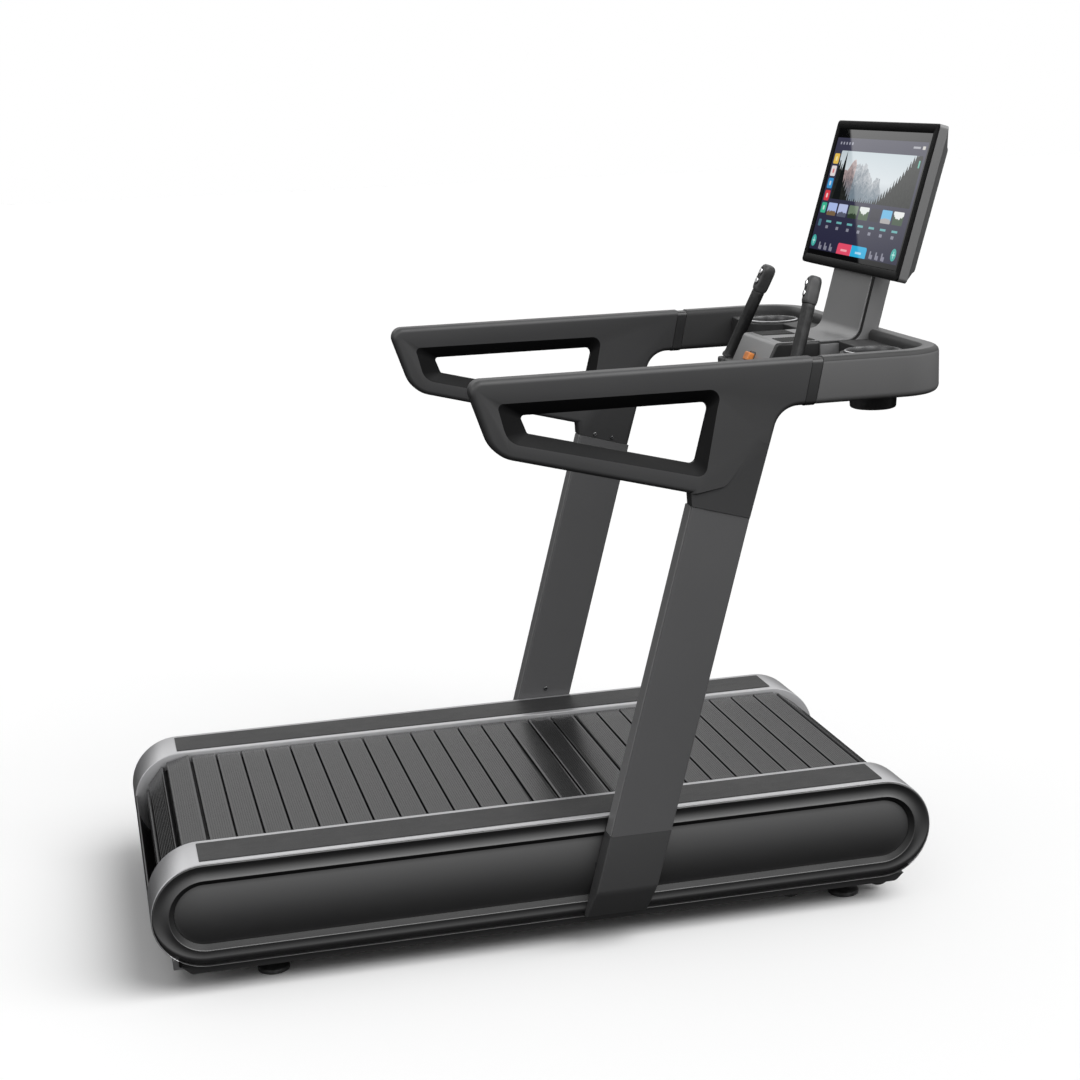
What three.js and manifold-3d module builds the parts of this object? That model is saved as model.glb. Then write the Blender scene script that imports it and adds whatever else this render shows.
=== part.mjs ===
import * as THREE from "three";
import { ConvexGeometry } from "three/addons/geometries/ConvexGeometry.js";
import { mergeVertices } from "three/addons/utils/BufferGeometryUtils.js";
import Module from "manifold-3d";

const wasm = await Module();
wasm.setup();

// Millimetres. +X points to the console, +Y to the left side, +Z up, and the floor is Z = 0.
// Lengths along X are written from the middle of the base, and baseShift moves them to the box centre.
const baseShift = -53;
const gap = 0.3;

// Base housings on either side of the belt.
const baseHalf = 830;
const baseLow = 61;
const baseTop = 280;
const housingIn = 284;
const housingOut = 416;
const bandOut = 414.5;
const rimWidth = 36;

// Slat belt and its drums.
const drumX = 702.5;
const drumZ = 172;
const pitchRadius = 88;
const slatCount = 59;
const slatPitch = 57;
const slatWidth = 54;
const slatHalf = 280;
const slatThick = 15;

// Uprights and handles.
const uprightIn = 416.5;
const uprightOut = 460;
const handleIn = 423;
const handleOut = 467;
const rearFoot = [104, 251.5];
const rearSlope = 0.2739;
const frontFoot = [233.8, 242.7];
const frontSlope = 0.2756;

// Console.
const ringLow = 1114;
const ringTop = 1209;
const ringFront = 856;
const ringRadius = 111;
const ringWide = 44;
const trayTop = 1188;
const cupX = 743;
const cupY = 302;
const mastHalf = 113;
const mastLean = 15;

// Screen, drawn upright and then tilted about its lower front edge.
const screenFoot = [806, 1328];
const screenTilt = 16.37;
const screenWide = 555;
const screenTall = 333.5;
const frameDeep = 23;
const coverDeep = 50;

const footX = [-588, 665];
const footY = 328;
const wheelX = [537, 742];
const wheelY = 338;
const wheelRadius = 30;
const wheelZ = 42;

const group = new THREE.Group();

// Turns a closed geometry into a solid, facing outwards.
function solidOf(geometry) {
  geometry.deleteAttribute("normal");
  geometry.deleteAttribute("uv");
  const merged = mergeVertices(geometry, 1e-4);
  const triVerts = new Uint32Array(merged.index.array);
  const vertProperties = merged.attributes.position.array;
  const made = new wasm.Manifold(new wasm.Mesh({ numProp: 3, vertProperties, triVerts }));
  if (made.volume() > 0) {
    return made;
  }
  for (let i = 0; i < triVerts.length; i += 3) {
    const keep = triVerts[i + 1];
    triVerts[i + 1] = triVerts[i + 2];
    triVerts[i + 2] = keep;
  }
  return new wasm.Manifold(new wasm.Mesh({ numProp: 3, vertProperties, triVerts }));
}

// Adds a solid to the group as a named mesh.
function addNode(name, solid, color, roughness, metalness) {
  const data = solid.getMesh();
  const geometry = new THREE.BufferGeometry();
  const position = new Float32Array(data.numVert * 3);
  for (let i = 0; i < data.numVert; i += 1) {
    const first = i * data.numProp;
    position.set(data.vertProperties.subarray(first, first + 3), i * 3);
  }
  geometry.setAttribute("position", new THREE.BufferAttribute(position, 3));
  geometry.setIndex(new THREE.BufferAttribute(data.triVerts, 1));
  geometry.translate(baseShift, 0, 0);
  geometry.computeVertexNormals();
  const material = new THREE.MeshStandardMaterial({ color, roughness, metalness });
  const mesh = new THREE.Mesh(geometry, material);
  mesh.name = name;
  group.add(mesh);
}

function outline(points) {
  return points.map((p) => new THREE.Vector2(p[0], p[1]));
}

function extruded(points, depth) {
  const shape = new THREE.Shape(outline(points));
  return new THREE.ExtrudeGeometry(shape, { depth, bevelEnabled: false });
}

// A profile in X and Z, drawn out along Y.
function slabY(points, y0, y1) {
  const low = Math.min(y0, y1);
  const high = Math.max(y0, y1);
  const geometry = extruded(points, high - low);
  geometry.rotateX(Math.PI / 2);
  geometry.translate(0, high, 0);
  return solidOf(geometry);
}

// A profile in X and Y, drawn up along Z.
function slabZ(points, z0, z1) {
  const geometry = extruded(points, z1 - z0);
  geometry.translate(0, 0, z0);
  return solidOf(geometry);
}

function box(x0, x1, y0, y1, z0, z1) {
  const geometry = new THREE.BoxGeometry(Math.abs(x1 - x0), Math.abs(y1 - y0), Math.abs(z1 - z0));
  geometry.translate((x0 + x1) / 2, (y0 + y1) / 2, (z0 + z1) / 2);
  return solidOf(geometry);
}

function hull(points) {
  return solidOf(new ConvexGeometry(points.map((p) => new THREE.Vector3(p[0], p[1], p[2]))));
}

// A polygon with its corners rounded. Each point is [a, b, radius].
function rounded(points, steps = 5) {
  const out = [];
  points.forEach((p, i) => {
    const before = points[(i + points.length - 1) % points.length];
    const after = points[(i + 1) % points.length];
    const radius = p[2] || 0;
    if (!radius) {
      out.push([p[0], p[1]]);
      return;
    }
    const here = new THREE.Vector2(p[0], p[1]);
    const toBefore = new THREE.Vector2(before[0], before[1]).sub(here).normalize();
    const toAfter = new THREE.Vector2(after[0], after[1]).sub(here).normalize();
    const half = Math.acos(THREE.MathUtils.clamp(toBefore.dot(toAfter), -1, 1)) / 2;
    const along = radius / Math.tan(half);
    const middle = toBefore.clone().add(toAfter).normalize();
    const centre = here.clone().addScaledVector(middle, radius / Math.sin(half));
    const start = here.clone().addScaledVector(toBefore, along).sub(centre);
    const end = here.clone().addScaledVector(toAfter, along).sub(centre);
    let turn = end.angle() - start.angle();
    turn = Math.atan2(Math.sin(turn), Math.cos(turn));
    for (let k = 0; k <= steps; k += 1) {
      const angle = start.angle() + (turn * k) / steps;
      out.push([centre.x + radius * Math.cos(angle), centre.y + radius * Math.sin(angle)]);
    }
  });
  return out;
}

// A long oval in X and Z, with round ends.
function oval(halfLength, low, high, steps = 10) {
  const radius = (high - low) / 2;
  const middle = (high + low) / 2;
  const out = [];
  [1, -1].forEach((side) => {
    for (let k = 0; k <= steps; k += 1) {
      const angle = (side > 0 ? -Math.PI / 2 : Math.PI / 2) + (Math.PI * k) / steps;
      const across = side * (halfLength - radius);
      out.push([across + radius * Math.cos(angle), middle + radius * Math.sin(angle)]);
    }
  });
  return out;
}

// A solid of revolution about an axis along Y. Each point is [radius, y].
function turnedY(points, x, z, steps = 28) {
  const geometry = new THREE.LatheGeometry(outline(points), steps);
  geometry.translate(x, 0, z);
  return solidOf(geometry);
}

// A solid of revolution about an axis along Z. Each point is [radius, z].
function turnedZ(points, x, y, steps = 28) {
  const geometry = new THREE.LatheGeometry(outline(points), steps);
  geometry.rotateX(Math.PI / 2);
  geometry.translate(x, y, 0);
  return solidOf(geometry);
}

function rodY(radius, x, z, y0, y1, steps = 20) {
  const low = Math.min(y0, y1);
  const high = Math.max(y0, y1);
  return turnedY([[0, low], [radius, low], [radius, high], [0, high]], x, z, steps);
}

function rodZ(radius, x, y, z0, z1, steps = 20) {
  return turnedZ([[0, z0], [radius, z0], [radius, z1], [0, z1]], x, y, steps);
}

function uprightRear(z) {
  return rearFoot[0] + rearSlope * (z - rearFoot[1]);
}

function uprightFront(z) {
  return frontFoot[0] + frontSlope * (z - frontFoot[1]);
}

// Side plates with cross tubes, foot flanges and the stubs that carry the uprights.
function baseFrame() {
  let frame = box(-430, -370, -290, 290, 147, 197);
  [0, 400].forEach((x) => {
    frame = frame.add(box(x - 30, x + 30, -290, 290, 147, 197));
  });
  [-1, 1].forEach((side) => {
    let plate = slabY(oval(790, 78, 262, 8), side * 288, side * 294);
    [-drumX, drumX].forEach((x) => {
      plate = plate.subtract(rodY(24, x, drumZ, side * 280, side * 300, 16));
    });
    frame = frame.add(plate);
    frame = frame.add(box(-640, 750, side * 293, side * 372, 78, 84));
    frame = frame.add(box(80, 150, side * 290, side * (uprightIn - gap), 120, 180));
    footX.forEach((x) => {
      frame = frame.subtract(rodZ(6.5, x, side * footY, 70, 90, 12));
    });
  });
  [-400, 0, 400].forEach((x) => {
    frame = frame.subtract(box(x - 27, x + 27, -300, 300, 150, 194));
  });
  return frame;
}

// A rail of small rollers that carries the slats between the drums.
function rollerRail(side) {
  let rail = box(-600, 600, side * 260, side * 266, 205, 242);
  for (let i = 0; i < 11; i += 1) {
    rail = rail.add(rodY(13, -580 + i * 116, drumZ + 65, side * 265, side * 279, 8));
  }
  [-400, 0, 400].forEach((x) => {
    rail = rail.add(box(x - 20, x + 20, side * 240, side * 266, 197 + gap, 206));
  });
  return rail;
}

function drumProfile(pulley, drive) {
  const points = [[0, -322], [15, -322], [15, -258], [70, -258], [pulley, -255]];
  points.push([pulley, -215], [70, -212], [30, -208], [30, 208], [70, 212]);
  points.push([pulley, 215], [pulley, 255], [70, 258], [15, 258], [15, 322], [0, 322]);
  if (drive) {
    points.splice(0, 2, [0, -352], [44, -352], [44, -332], [15, -332]);
  }
  return points;
}

function bearing(x, side) {
  let block = slabY(
    rounded([[x - 42, drumZ - 42, 10], [x + 42, drumZ - 42, 10], [x + 42, drumZ + 42, 26],
      [x - 42, drumZ + 42, 26]], 3),
    side * (294 + gap),
    side * 320,
  );
  block = block.subtract(rodY(15.6, x, drumZ, side * 290, side * 330, 24));
  return block;
}

// The closed loop of slats on its two belts.
function slatBelt() {
  const straight = drumX * 2;
  const turn = Math.PI * pitchRadius;
  const total = 2 * straight + 2 * turn;
  let loop = slabY(oval(drumX + 87, drumZ - 87, drumZ + 87, 12), -slatHalf, slatHalf);
  for (let i = 0; i < slatCount; i += 1) {
    const along = (((i + 0.5) * total) / slatCount + drumX - 12 + total) % total;
    let x = 0;
    let z = 0;
    let angle = 0;
    if (along < straight) {
      x = along - drumX;
      z = pitchRadius;
    } else if (along < straight + turn) {
      angle = (along - straight) / pitchRadius;
      x = drumX + pitchRadius * Math.sin(angle);
      z = pitchRadius * Math.cos(angle);
    } else if (along < 2 * straight + turn) {
      angle = Math.PI;
      x = drumX - (along - straight - turn);
      z = -pitchRadius;
    } else {
      angle = Math.PI + (along - 2 * straight - turn) / pitchRadius;
      x = -drumX + pitchRadius * Math.sin(angle);
      z = pitchRadius * Math.cos(angle);
    }
    const slat = new THREE.BoxGeometry(slatWidth, 2 * slatHalf, slatThick);
    slat.translate(0, 0, 12 - slatThick / 2);
    slat.rotateY(angle);
    slat.translate(x, 0, drumZ + z);
    loop = loop.add(solidOf(slat));
  }
  loop = loop.subtract(slabY(oval(drumX + 78.6, drumZ - 78.6, drumZ + 78.6, 14), -300, 300));
  return loop;
}

const flywheelX = 470;

function flywheel() {
  const points = [[0, -386], [76, -386], [76, -360], [18, -360], [18, -353], [20, -352]];
  points.push([20, -332], [8, -330], [8, -310], [0, -310]);
  return turnedY(points, flywheelX, drumZ, 24);
}

// The belt from the front drum to the brake wheel.
function driveBelt() {
  function loop(grow) {
    const big = 44.6 + grow;
    const small = 20.6 + grow;
    const points = [];
    for (let k = 0; k < 24; k += 1) {
      const angle = (2 * Math.PI * k) / 24;
      points.push([drumX + big * Math.cos(angle), -350, drumZ + big * Math.sin(angle)]);
      points.push([drumX + big * Math.cos(angle), -334, drumZ + big * Math.sin(angle)]);
      points.push([flywheelX + small * Math.cos(angle), -350, drumZ + small * Math.sin(angle)]);
      points.push([flywheelX + small * Math.cos(angle), -334, drumZ + small * Math.sin(angle)]);
    }
    return points;
  }
  const inner = loop(0).map((p) => [p[0], p[1] < -340 ? -360 : -320, p[2]]);
  return hull(loop(3)).subtract(hull(inner));
}

// A caliper that holds the brake magnets beside the brake wheel's rim, and its post.
function brakeYoke() {
  let yoke = box(flywheelX - 115, flywheelX - 45, -398, -348, 150, 194);
  yoke = yoke.subtract(box(flywheelX - 100, flywheelX, -389, -357, 100, 220));
  yoke = yoke.subtract(rodY(78, flywheelX, drumZ, -389, -357, 24));
  yoke = yoke.subtract(rodY(26, flywheelX, drumZ, -400, -340, 16));
  yoke = yoke.add(box(flywheelX - 115, flywheelX - 101, -398, -348, 100, 160));
  yoke = yoke.add(box(flywheelX - 130, flywheelX - 101, -371, -294 - gap, 84 + gap, 101));
  return yoke;
}

// Light band over the top and round the ends of a housing, with a thin lip at its outer edge.
function railBand(side) {
  let band = slabY(oval(baseHalf, baseLow, baseTop, 12), side * housingIn, side * bandOut);
  band = band.subtract(slabY(oval(baseHalf - 5, baseLow + 4, baseTop - 5, 12), side * 280, side * 403));
  band = band.subtract(slabY(oval(baseHalf - 2, baseLow + 2, baseTop - 2, 12), side * 402, side * 420));
  band = band.subtract(box(-726.5, 726.5, side * 299.5, side * 399.5, 278, 290));
  footX.forEach((x) => {
    band = band.subtract(rodZ(10, x, side * footY, 50, 70, 12));
  });
  band = band.subtract(box(500, 782, side * 320, side * 356, 50, 80));
  return band;
}

// The cover sits inside the band's thin outer lip.
function sideCover(side) {
  const lip = 2 + gap;
  let cover = slabY(
    oval(baseHalf - lip, baseLow + lip, baseTop - lip, 12),
    side * (403 + gap),
    side * (housingOut - 3),
  );
  cover = cover.add(
    slabY(oval(baseHalf - 4.5, baseLow + 4.5, baseTop - 4.5, 12), side * 404, side * housingOut),
  );
  const low = baseLow + rimWidth;
  const high = baseTop - rimWidth;
  cover = cover.subtract(slabY(oval(baseHalf - rimWidth, low, high, 12), side * 400, side * 420));
  return cover;
}

// The slightly domed panel inside the rim, with a hole for the stub that carries the upright.
function sidePanel(side) {
  const low = baseLow + rimWidth + gap;
  const high = baseTop - rimWidth - gap;
  const half = baseHalf - rimWidth - gap;
  let panel = slabY(oval(half, low, high, 12), side * 404, side * 407);
  panel = panel.add(slabY(oval(half - 8, low + 8, high - 8, 10), side * 405, side * 411));
  panel = panel.add(slabY(oval(half - 22, low + 22, high - 22, 8), side * 406, side * 414));
  panel = panel.subtract(box(79, 151, side * 400, side * 420, 119, 181));
  return panel;
}

function footStrip(side) {
  return box(-726, 726, side * 300, side * 399, 278 + gap, 281.5);
}

// A curved guard that closes the end between the housings.
function endGuard(end) {
  const centre = [720.5, 170.5];
  const points = [];
  for (let k = 0; k <= 12; k += 1) {
    const angle = THREE.MathUtils.degToRad(-88 + (98 * k) / 12);
    points.push([end * (centre[0] + 109 * Math.cos(angle)), centre[1] + 109 * Math.sin(angle)]);
  }
  for (let k = 12; k >= 0; k -= 1) {
    const angle = THREE.MathUtils.degToRad(-88 + (98 * k) / 12);
    points.push([end * (centre[0] + 105 * Math.cos(angle)), centre[1] + 105 * Math.sin(angle)]);
  }
  return slabY(points, -housingIn + gap, housingIn - gap);
}

// Tray under the frame, open at the top.
function bellyPan() {
  const outer = rounded([[-775, 60.5, 0], [-757, 44, 14], [757, 44, 14], [775, 60.5, 0]], 3);
  let pan = slabY(outer, -402, 402);
  pan = pan.subtract(box(-752, 752, -398, 398, 47, 70));
  [-1, 1].forEach((side) => {
    footX.forEach((x) => {
      pan = pan.subtract(rodZ(8, x, side * footY, 40, 50, 12));
    });
    pan = pan.subtract(box(500, 782, side * 318, side * 358, 40, 70));
    pan = pan.add(box(495, 770, side * 358, side * 361, 44, 60.5));
  });
  return pan;
}

function liftBar() {
  let bar = box(-791, -779.5, -335, 335, 27, 49);
  bar = bar.add(box(-791, -765, -335, 335, 27, 31));
  [-1, 1].forEach((side) => {
    bar = bar.add(box(-780, -690, side * 190, side * 240, 39.5, 43.6));
  });
  return bar;
}

function upright(side) {
  const points = [[uprightRear(248), 248], [uprightFront(248), 248], [412.7, 891.8], [289, 926.9]];
  const hollow = [[uprightRear(200) + 3.2, 200], [uprightFront(200) - 3.2, 200]];
  hollow.push([uprightFront(980) - 3.2, 980], [uprightRear(980) + 3.2, 980]);
  const solid = slabY(points, side * uprightIn, side * uprightOut);
  return solid.subtract(slabY(hollow, side * (uprightIn + 3), side * (uprightOut - 3)));
}

function uprightFootCover(side) {
  const points = [];
  [[247.6, uprightOut], [132, uprightOut], [68, 432]].forEach(([z, y]) => {
    points.push([uprightRear(z), side * y, z], [uprightFront(z), side * y, z]);
    points.push([uprightRear(z), side * uprightIn, z], [uprightFront(z), side * uprightIn, z]);
  });
  return hull(points);
}

// A side handle: a slanted loop on a stem that carries on down to the upright.
function handle(side) {
  const profile = rounded([
    [289.2, 927.6, 0], [413, 892.5, 0], [478, 1114, 52], [527, 1114, 0], [547, 1209.5, 0],
    [-160, 1210, 24], [-109, 1058, 72], [288, 954, 0],
  ], 5);
  let solid = slabY(profile, side * handleIn, side * handleOut);
  const face = rounded([[-100, 1162, 10], [354, 1160, 20], [318, 984, 18], [-80, 1084, 40]], 3);
  const throat = rounded([[-52, 1134.5, 6], [334, 1134, 14], [301, 1010, 12], [-38, 1097, 10]], 3);
  [handleOut, handleIn].forEach((y) => {
    const inner = y > 445 ? y - 17 : y + 17;
    const outer = y > 445 ? y + 1 : y - 1;
    const points = face.map((p) => [p[0], side * outer, p[1]]);
    throat.forEach((p) => points.push([p[0], side * inner, p[1]]));
    solid = solid.subtract(hull(points));
  });
  solid = solid.subtract(slabY(throat, side * (handleIn + 10), side * (handleOut - 10)));
  // The stem below the loop sits a little behind the loop's outer face.
  const step = rounded([[280, 880, 0], [420, 880, 0], [520, 1080, 0], [395, 1010, 30], [366, 962, 26],
    [288, 948, 0]], 3);
  solid = solid.subtract(slabY(step, side * 461, side * 470));
  return solid;
}

function jointCollar(side) {
  const points = [[547.6, 1206.5], [527.9, 1112.5], [550, 1112.5], [569.7, 1206.5]];
  return slabY(points, side * (handleIn + 1), side * (handleOut - 1));
}

// The bar that runs round the front of the console, cut away where the mast passes.
function consoleRing() {
  const out = handleOut;
  const plan = rounded([
    [500, -out, 0], [ringFront, -out, ringRadius], [ringFront, out, ringRadius], [500, out, 0],
    [500, out - ringWide, 0], [ringFront - ringWide, out - ringWide, ringRadius - ringWide],
    [ringFront - ringWide, ringWide - out, ringRadius - ringWide], [500, ringWide - out, 0],
  ], 8);
  let ring = slabZ(plan, ringLow, ringTop);
  const cut = [[400, 1300], [400, 1000], [526.8, 1000], [550.4, 1113.5], [570.4, 1209.5], [589, 1300]];
  ring = ring.subtract(slabY(cut, -500, 500));
  ring = ring.subtract(slabY(mastProfile(gap), -mastHalf - gap, mastHalf + gap));
  return ring;
}

function mastProfile(grow) {
  const lean = Math.tan(THREE.MathUtils.degToRad(mastLean));
  const top = 1190 + grow;
  const low = 1145 - grow;
  const corner = 785.4 - grow / Math.cos(THREE.MathUtils.degToRad(mastLean));
  const back = corner + (45 + 2 * grow) / Math.cos(THREE.MathUtils.degToRad(mastLean));
  return rounded([
    [700.3 - grow, top, 0], [corner, top, 30], [corner + lean * 190, top + 190, 0],
    [back + lean * 190, top + 190, 0], [back - lean * 45, low, 75], [700.3 - grow, low, 0],
  ], 6);
}

// Shelf that holds the cup holders and ties the pod to the ring.
function consoleTray() {
  const half = [[811.7, 0, 0], [811.7, 422.7, 66.7], [673, 422.7, 14]];
  const lobe = [];
  for (let k = 0; k <= 6; k += 1) {
    const angle = Math.PI + (Math.PI / 2) * (k / 6);
    lobe.push([cupX + 70 * Math.cos(angle), cupY + 70 * Math.sin(angle)]);
  }
  const left = rounded(half, 6).concat(lobe, [[cupX, 0]]);
  let tray = slabZ(left, 1120, trayTop);
  const right = left.map((p) => [p[0], -p[1]]);
  tray = tray.add(slabZ(right, 1120, trayTop));
  [-1, 1].forEach((side) => {
    tray = tray.subtract(rodZ(56, cupX, side * cupY, 1100, 1200, 28));
  });
  tray = tray.subtract(box(690, 830, -mastHalf - gap, mastHalf + gap, 1145 - gap, 1200));
  return tray;
}

function cupHolder(side) {
  const points = [[0, 1071], [48, 1071], [54, trayTop + gap], [61, trayTop + gap]];
  points.push([61, 1191], [58, 1192.5], [52, 1191], [46, 1075], [0, 1075]);
  return turnedZ(points, cupX, side * cupY, 24);
}

// Pod on the centre line, with the cross bar that carries the two grips.
function consolePod() {
  let pod = slabY(
    rounded([[601, 1191, 12], [700, 1190, 0], [700, 1085, 0], [556, 1085, 20], [571, 1129, 0]], 3),
    -107,
    107,
  );
  pod = pod.add(rodY(14, 593, 1110, -222, 222, 20));
  pod = pod.subtract(box(618, 696, -92, 92, 1184, 1195));
  const key = keyFrame();
  pod = pod.subtract(solidOf(new THREE.BoxGeometry(14, 20, 10).applyMatrix4(key)));
  return pod;
}

// A frame on the pod's sloping rear face, with its x axis pointing out of the face.
function keyFrame() {
  const out = new THREE.Vector3(-62, 0, 30).normalize();
  const side = new THREE.Vector3(0, -1, 0);
  const up = new THREE.Vector3().crossVectors(out, side);
  const frame = new THREE.Matrix4().makeBasis(out, side, up);
  frame.setPosition(580.2, 0, 1148);
  return frame;
}

function safetyKey() {
  const key = keyFrame();
  const head = new THREE.BoxGeometry(13, 30, 20);
  head.translate(6.5 + gap, 0, 0);
  const stem = new THREE.BoxGeometry(7, 18, 8);
  stem.translate(-2, 0, 0);
  return solidOf(head.applyMatrix4(key)).add(solidOf(stem.applyMatrix4(key)));
}

function phoneMat() {
  return box(618 + gap, 696 - gap, -92 + gap, 92 - gap, 1184 + gap, 1191);
}

const gripBase = [593.4, 208, 1110];
const gripRun = [65.4, -52.6, 172.4];

// A frame at the foot of a grip, with its z axis along the grip.
function gripFrame(side) {
  const along = new THREE.Vector3(gripRun[0], side * gripRun[1], gripRun[2]).normalize();
  const forward = new THREE.Vector3(1, 0, 0).addScaledVector(along, -along.x).normalize();
  const across = new THREE.Vector3().crossVectors(along, forward);
  const frame = new THREE.Matrix4().makeBasis(forward, across, along);
  frame.setPosition(gripBase[0], side * gripBase[1], gripBase[2]);
  return frame;
}

const buttonHeights = [207, 230];

function grip(side) {
  const frame = gripFrame(side);
  const tube = new THREE.CylinderGeometry(14.5, 14.5, 186, 14);
  tube.rotateX(Math.PI / 2);
  tube.translate(0, 0, 107);
  let solid = solidOf(tube.applyMatrix4(frame));
  solid = solid.subtract(rodY(14 + gap, gripBase[0], gripBase[2], -230, 230, 20));
  const points = [];
  [[184, 12, 14], [192, 16, 16], [240, 16, 15], [248, 11, 10]].forEach(([z, x, y]) => {
    [[-x, -y + 5], [-x, y - 5], [-x + 5, y], [x - 6, y], [x, y - 7], [x, -y + 7], [x - 6, -y],
      [-x + 5, -y]].forEach((p) => {
      const spot = new THREE.Vector3(p[0], p[1], z).applyMatrix4(frame);
      points.push([spot.x, spot.y, spot.z]);
    });
  });
  solid = solid.add(hull(points));
  buttonHeights.forEach((z) => {
    const pocket = new THREE.CylinderGeometry(7.3, 7.3, 12, 16);
    pocket.rotateZ(Math.PI / 2);
    pocket.translate(-16, 0, z);
    solid = solid.subtract(solidOf(pocket.applyMatrix4(frame)));
  });
  return solid;
}

function gripButton(side, z) {
  const button = new THREE.CylinderGeometry(6.8, 6.8, 6, 16);
  button.rotateZ(Math.PI / 2);
  button.translate(-15, 0, z);
  return solidOf(button.applyMatrix4(gripFrame(side)));
}

// Places a solid drawn in the screen's own frame: x is depth, y is across, z is height.
function onScreen(geometry) {
  geometry.rotateY(THREE.MathUtils.degToRad(screenTilt));
  geometry.translate(screenFoot[0], 0, screenFoot[1]);
  return solidOf(geometry);
}

function screenBox(x0, x1, half, z0, z1) {
  const geometry = new THREE.BoxGeometry(x1 - x0, 2 * half, z1 - z0);
  geometry.translate((x0 + x1) / 2, 0, (z0 + z1) / 2);
  return onScreen(geometry);
}

function screenFrame() {
  const half = screenWide / 2;
  const solid = screenBox(0, frameDeep, half, 0, screenTall);
  return solid.subtract(screenBox(-5, frameDeep + 5, half - 12, 12, screenTall - 12));
}

function screenGlass() {
  return screenBox(1.5, 5, screenWide / 2 - 12 - gap, 12 + gap, screenTall - 12 - gap);
}

function coverPoints(grow) {
  const half = screenWide / 2 + grow;
  const points = [];
  [-1, 1].forEach((side) => {
    points.push([frameDeep + gap - grow, side * half, -grow]);
    points.push([frameDeep + gap - grow, side * half, screenTall + grow]);
    points.push([coverDeep + grow, side * (half - 35), 28 - grow]);
    points.push([coverDeep + grow, side * (half - 35), screenTall - 42 + grow]);
  });
  return points.map((p) => new THREE.Vector3(p[0], p[1], p[2]));
}

function screenRearCover() {
  let cover = onScreen(new ConvexGeometry(coverPoints(0)));
  const half = screenWide / 2 - 12 - gap;
  cover = cover.add(screenBox(5 + gap, frameDeep + 5, half, 12 + gap, screenTall - 12 - gap));
  cover = cover.subtract(screenBox(29.5, 38.5, 61, -30, 92));
  return cover;
}

// The mast rises from the pod and ends under the screen, where a plate carries on inside it.
function mast() {
  let solid = slabY(mastProfile(0), -mastHalf, mastHalf);
  solid = solid.subtract(onScreen(new ConvexGeometry(coverPoints(0.5))));
  solid = solid.subtract(screenBox(-40, frameDeep + 1, screenWide / 2 + 5, -0.5, 200));
  solid = solid.subtract(screenBox(-60, 160, 400, 24, 300));
  solid = solid.add(screenBox(30, 38, 60, -20, 80));
  return solid;
}

function levellingFoot(x, side) {
  const points = [[0, 0], [31, 0], [33, 2], [33, 9], [12, 15], [10, 24], [6, 26]];
  points.push([6, 116], [0, 116]);
  return turnedZ(points, x, side * footY, 16);
}

function transportWheel(x, side) {
  const near = side * (wheelY - 10);
  const far = side * (wheelY + 10);
  const points = [[5.6, near], [wheelRadius - 3, near], [wheelRadius, near + side * 3]];
  points.push([wheelRadius, far - side * 3], [wheelRadius - 3, far], [5.6, far], [5.6, near]);
  return turnedY(points, x, wheelZ, 18);
}

// Channel with two pins that carries a pair of transport wheels.
function wheelBracket(side) {
  let bracket = box(504, 776, side * 322, side * 326, 30, 77.6);
  bracket = bracket.add(box(504, 776, side * 350, side * 354, 34, 77.6));
  bracket = bracket.add(box(504, 776, side * 322, side * 354, 73.6, 77.6));
  bracket = bracket.subtract(rodZ(38, footX[1], side * footY, 20, 40, 16));
  bracket = bracket.subtract(rodZ(14, footX[1], side * footY, 20, 90, 12));
  wheelX.forEach((x) => {
    bracket = bracket.add(rodY(5, x, wheelZ, side * 324, side * 352, 12));
  });
  return bracket;
}

const darkSteel = 0x2b2c2e;
const lightBand = 0xb9bcbf;
const moulding = 0x2a2a2b;
const satinGrey = 0x4a4b4c;

addNode("base_frame", baseFrame(), darkSteel, 0.5, 0.6);
addNode("front_drum", turnedY(drumProfile(78, true), drumX, drumZ, 22), 0x8b8e91, 0.35, 0.9);
addNode("rear_drum", turnedY(drumProfile(78, false), -drumX, drumZ, 22), 0x8b8e91, 0.35, 0.9);
addNode("slat_belt", slatBelt(), 0x19191a, 0.7, 0);
addNode("brake_flywheel", flywheel(), 0x77797c, 0.35, 0.9);
addNode("drive_belt", driveBelt(), 0x111111, 0.8, 0);
addNode("brake_yoke", brakeYoke(), 0x55585c, 0.5, 0.7);
addNode("front_guard", endGuard(1), 0x151515, 0.6, 0);
addNode("rear_guard", endGuard(-1), 0x151515, 0.6, 0);
addNode("belly_pan", bellyPan(), 0x161617, 0.7, 0);
addNode("rear_lift_bar", liftBar(), 0x5a5c5e, 0.4, 0.8);
addNode("console_ring", consoleRing(), satinGrey, 0.45, 0);
addNode("console_tray", consoleTray(), 0x3a3b3c, 0.5, 0);
addNode("console_pod", consolePod(), 0x5a5b5c, 0.45, 0);
addNode("phone_mat", phoneMat(), 0x151515, 0.9, 0);
addNode("safety_key", safetyKey(), 0xd9661b, 0.5, 0);
addNode("mast", mast(), 0x5b5c5d, 0.45, 0.3);
addNode("screen_frame", screenFrame(), 0x2a2b2c, 0.45, 0);
addNode("screen_glass", screenGlass(), 0x0d1016, 0.08, 0);
addNode("screen_rear_cover", screenRearCover(), 0x4c4d4e, 0.5, 0);

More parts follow.
